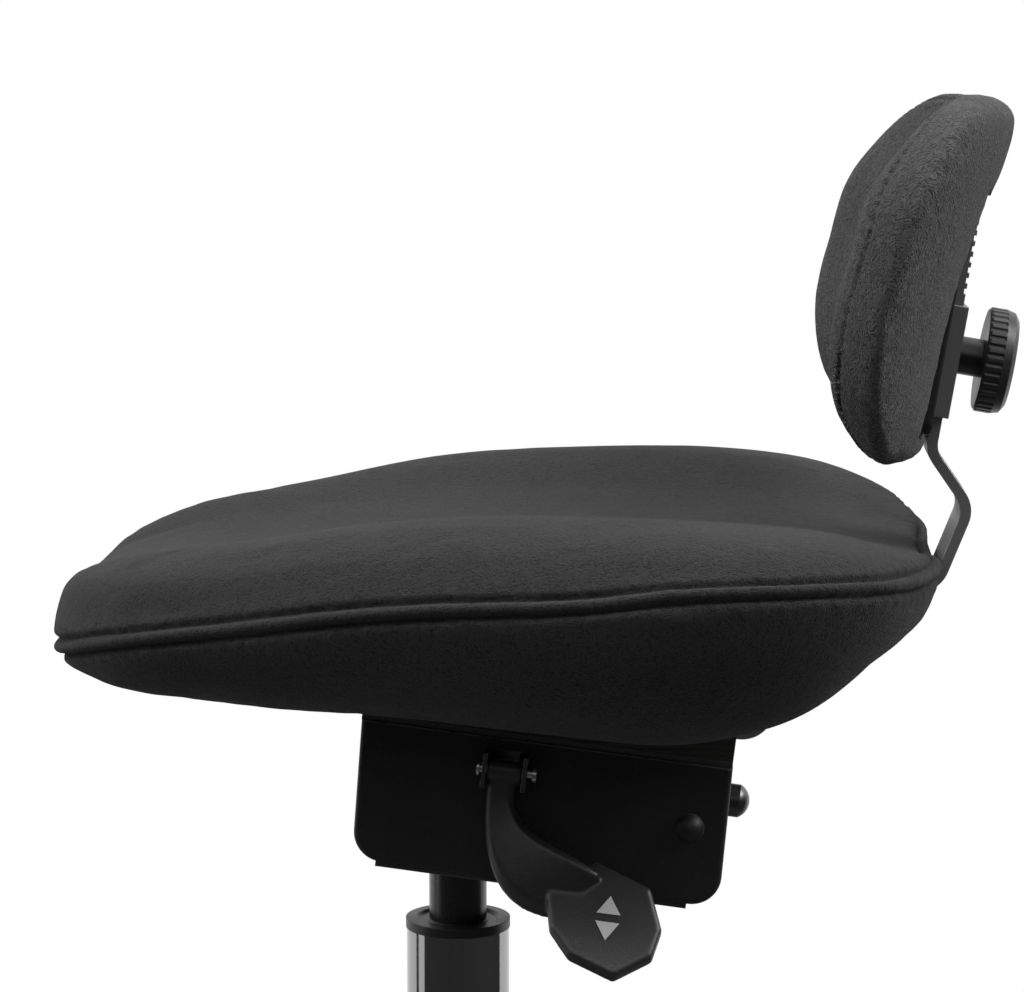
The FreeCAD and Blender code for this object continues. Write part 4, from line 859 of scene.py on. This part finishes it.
def makeLeverPrint(how):
    slope = math.radians(how["slope"])
    down = Vector((0, -math.cos(slope), -math.sin(slope)))
    away = Vector((0, -math.sin(slope), math.cos(slope)))
    side = Vector((1, 0, 0))
    middle = Vector(how["place"]) + side * how["along"] + down * how["down"] + away * how["lift"]
    turn = Matrix((side, -down, away)).transposed().to_4x4()
    shape = bmesh.new()
    for way in (1, -1):
        arrow = bmesh.ops.create_circle(shape, cap_ends=True, segments=3, radius=how["arrow"])["verts"]
        bmesh.ops.scale(shape, verts=arrow, vec=(how["narrow"], way * how["flat"], 1))
        bmesh.ops.translate(shape, verts=arrow, vec=(0, way * how["gap"], 0))
    grown = bmesh.ops.extrude_face_region(shape, geom=shape.faces[:])["geom"]
    top = [item for item in grown if isinstance(item, bmesh.types.BMVert)]
    bmesh.ops.translate(shape, verts=top, vec=(0, 0, how["thick"]))
    bmesh.ops.recalc_face_normals(shape, faces=shape.faces)
    shape.transform(seatMatrix @ Matrix.Translation(middle) @ turn)
    piece = fromShape("leverPrint", shape)
    finish(piece, "lever", "whitePrint")
    for face in piece.data.polygons:
        face.use_smooth = False


makeLeverPrint(leverPrint)
print("zip, lever and its sign made")

# Floor, backdrop and light

studio = {
    # the floor's radius, and from where to where it fades to white
    "floor": 3.5, "fadeFrom": 0.35, "fadeTo": 0.85,
    # the paper for the camera and for other rays, and the share of white glow in it
    "paper": 0.85, "bounce": 0.20, "lift": 0.52, "white": 1.0, "world": 0.12,
    # start and sweep of each flag in degrees, then their common form
    "flags": {"frontFlag": (-166.0, 188.0), "stripFlag": (168.0, 8.0)},
    "flagFrom": 0.40, "flagTo": 2.6, "flagFoot": 0.004, "flagTall": 1.4, "flagSteps": 24,
}


def makeFloor(how):
    # paper that fades to white, so that the floor has no edge
    shape = bmesh.new()
    bmesh.ops.create_circle(shape, cap_ends=True, segments=96, radius=how["floor"])
    floor = fromShape("floor", shape)
    material, tree, shader = startMaterial("floorPaper")
    tree.nodes.remove(shader)
    output = tree.nodes["Material Output"]
    glow = addNode(tree, "Emission", {"Color": (1, 1, 1, 1), "Strength": how["white"]})
    place = addNode(tree, "TexCoord").outputs["Object"]
    far = addNode(tree, "VectorMath", {0: place}, operation="LENGTH").outputs["Value"]
    far = addNode(tree, "MapRange", {"Value": far, "From Min": how["fadeFrom"], "From Max": how["fadeTo"]},
                  interpolation_type="SMOOTHSTEP").outputs[0]
    rays = addNode(tree, "LightPath").outputs
    seen = math2(tree, "MAXIMUM", rays["Is Camera Ray"], rays["Is Glossy Ray"])
    # pale to the eye, but it throws little light back up under the seat
    tint = addNode(tree, "Mix", {0: rays["Is Camera Ray"], 6: grey(how["bounce"]), 7: grey(how["paper"])},
                   data_type="RGBA").outputs[2]
    paper = addNode(tree, "BsdfDiffuse", {"Color": tint})
    share = math2(tree, "MAXIMUM", math2(tree, "MULTIPLY", far, seen),
                  math2(tree, "MULTIPLY", rays["Is Camera Ray"], how["lift"]))
    mixed = addNode(tree, "MixShader", {0: share, 1: paper.outputs[0], 2: glow.outputs[0]})
    tree.links.new(mixed.outputs[0], output.inputs["Surface"])
    floor.data.materials.append(material)


def makeBackdrop(how):
    # white to the eye and in reflections, and dimmer as a light
    world = bpy.data.worlds.new("studioWorld")
    bpy.context.scene.world = world
    world.use_nodes = True
    tree = world.node_tree
    rays = addNode(tree, "LightPath").outputs
    seen = math2(tree, "MAXIMUM", math2(tree, "MAXIMUM", rays["Is Camera Ray"], rays["Is Glossy Ray"]),
                 rays["Is Transmission Ray"])
    power = math2(tree, "ADD", math2(tree, "MULTIPLY", seen, how["white"] - how["world"]), how["world"])
    tree.nodes["Background"].inputs["Color"].default_value = (1, 1, 1, 1)
    tree.links.new(power, tree.nodes["Background"].inputs["Strength"])


def makeFlags(how):
    # dark cloths round the object that only its polished faces see, which draw the stripes in chrome
    material, tree, shader = startMaterial("flagCloth", Roughness=1.0)
    place = addNode(tree, "TexCoord").outputs["Object"]
    speck = addNode(tree, "TexNoise", {"Vector": place, "Scale": 3.0}).outputs[0]
    ramp = addNode(tree, "MapRange", {"Value": speck, "To Min": 0.008, "To Max": 0.03}).outputs[0]
    tree.links.new(ramp, shader.inputs["Base Color"])
    for name, (start, sweep) in how["flags"].items():
        shape = bmesh.new()
        corners = [(how["flagFrom"], how["flagFoot"]), (how["flagTo"], how["flagFoot"]),
                   (how["flagTo"], how["flagTall"])]
        marks = [shape.verts.new((away, 0, up)) for away, up in corners]
        runs = [shape.edges.new(pair) for pair in zip(marks, marks[1:])]
        bmesh.ops.rotate(shape, verts=marks, matrix=Matrix.Rotation(math.radians(start), 3, "Z"))
        bmesh.ops.spin(shape, geom=marks + runs, axis=(0, 0, 1), cent=(0, 0, 0),
                       angle=math.radians(sweep), steps=how["flagSteps"])
        flag = fromShape(name, shape)
        flag.data.materials.append(material)
        flag.visible_camera = False
        flag.visible_diffuse = False
        flag.visible_shadow = False


def addLamp(name, place, aim, size, power):
    data = bpy.data.lights.new(name, "AREA")
    data.shape = "RECTANGLE"
    data.size, data.size_y = size
    data.energy = power
    lamp = bpy.data.objects.new(name, data)
    bpy.context.scene.collection.objects.link(lamp)
    way = Vector(aim) - Vector(place)
    lamp.matrix_world = Matrix.Translation(place) @ way.to_track_quat("-Z", "Y").to_matrix().to_4x4()


lamps = {
    # place, aim, size in metres, power in watts
    "keyLamp": ((-0.3, -1.0, 2.7), (0, 0, 0.5), (1.5, 1.0), 23.0),
    "sideLamp": ((-1.9, -0.5, 1.7), (0, 0, 0.5), (1.2, 1.2), 16.0),
    "rearLamp": ((1.9, -0.2, 1.9), (0.1, 0, 0.55), (1.2, 1.2), 36.0),
    "topLamp": ((0.2, 0.5, 2.6), (0, 0, 0.5), (1.6, 1.6), 13.0),
}
makeFloor(studio)
makeBackdrop(studio)
makeFlags(studio)
for name, values in lamps.items():
    addLamp(name, *values)
bpy.context.scene.view_settings.view_transform = "Standard"
print("studio made")
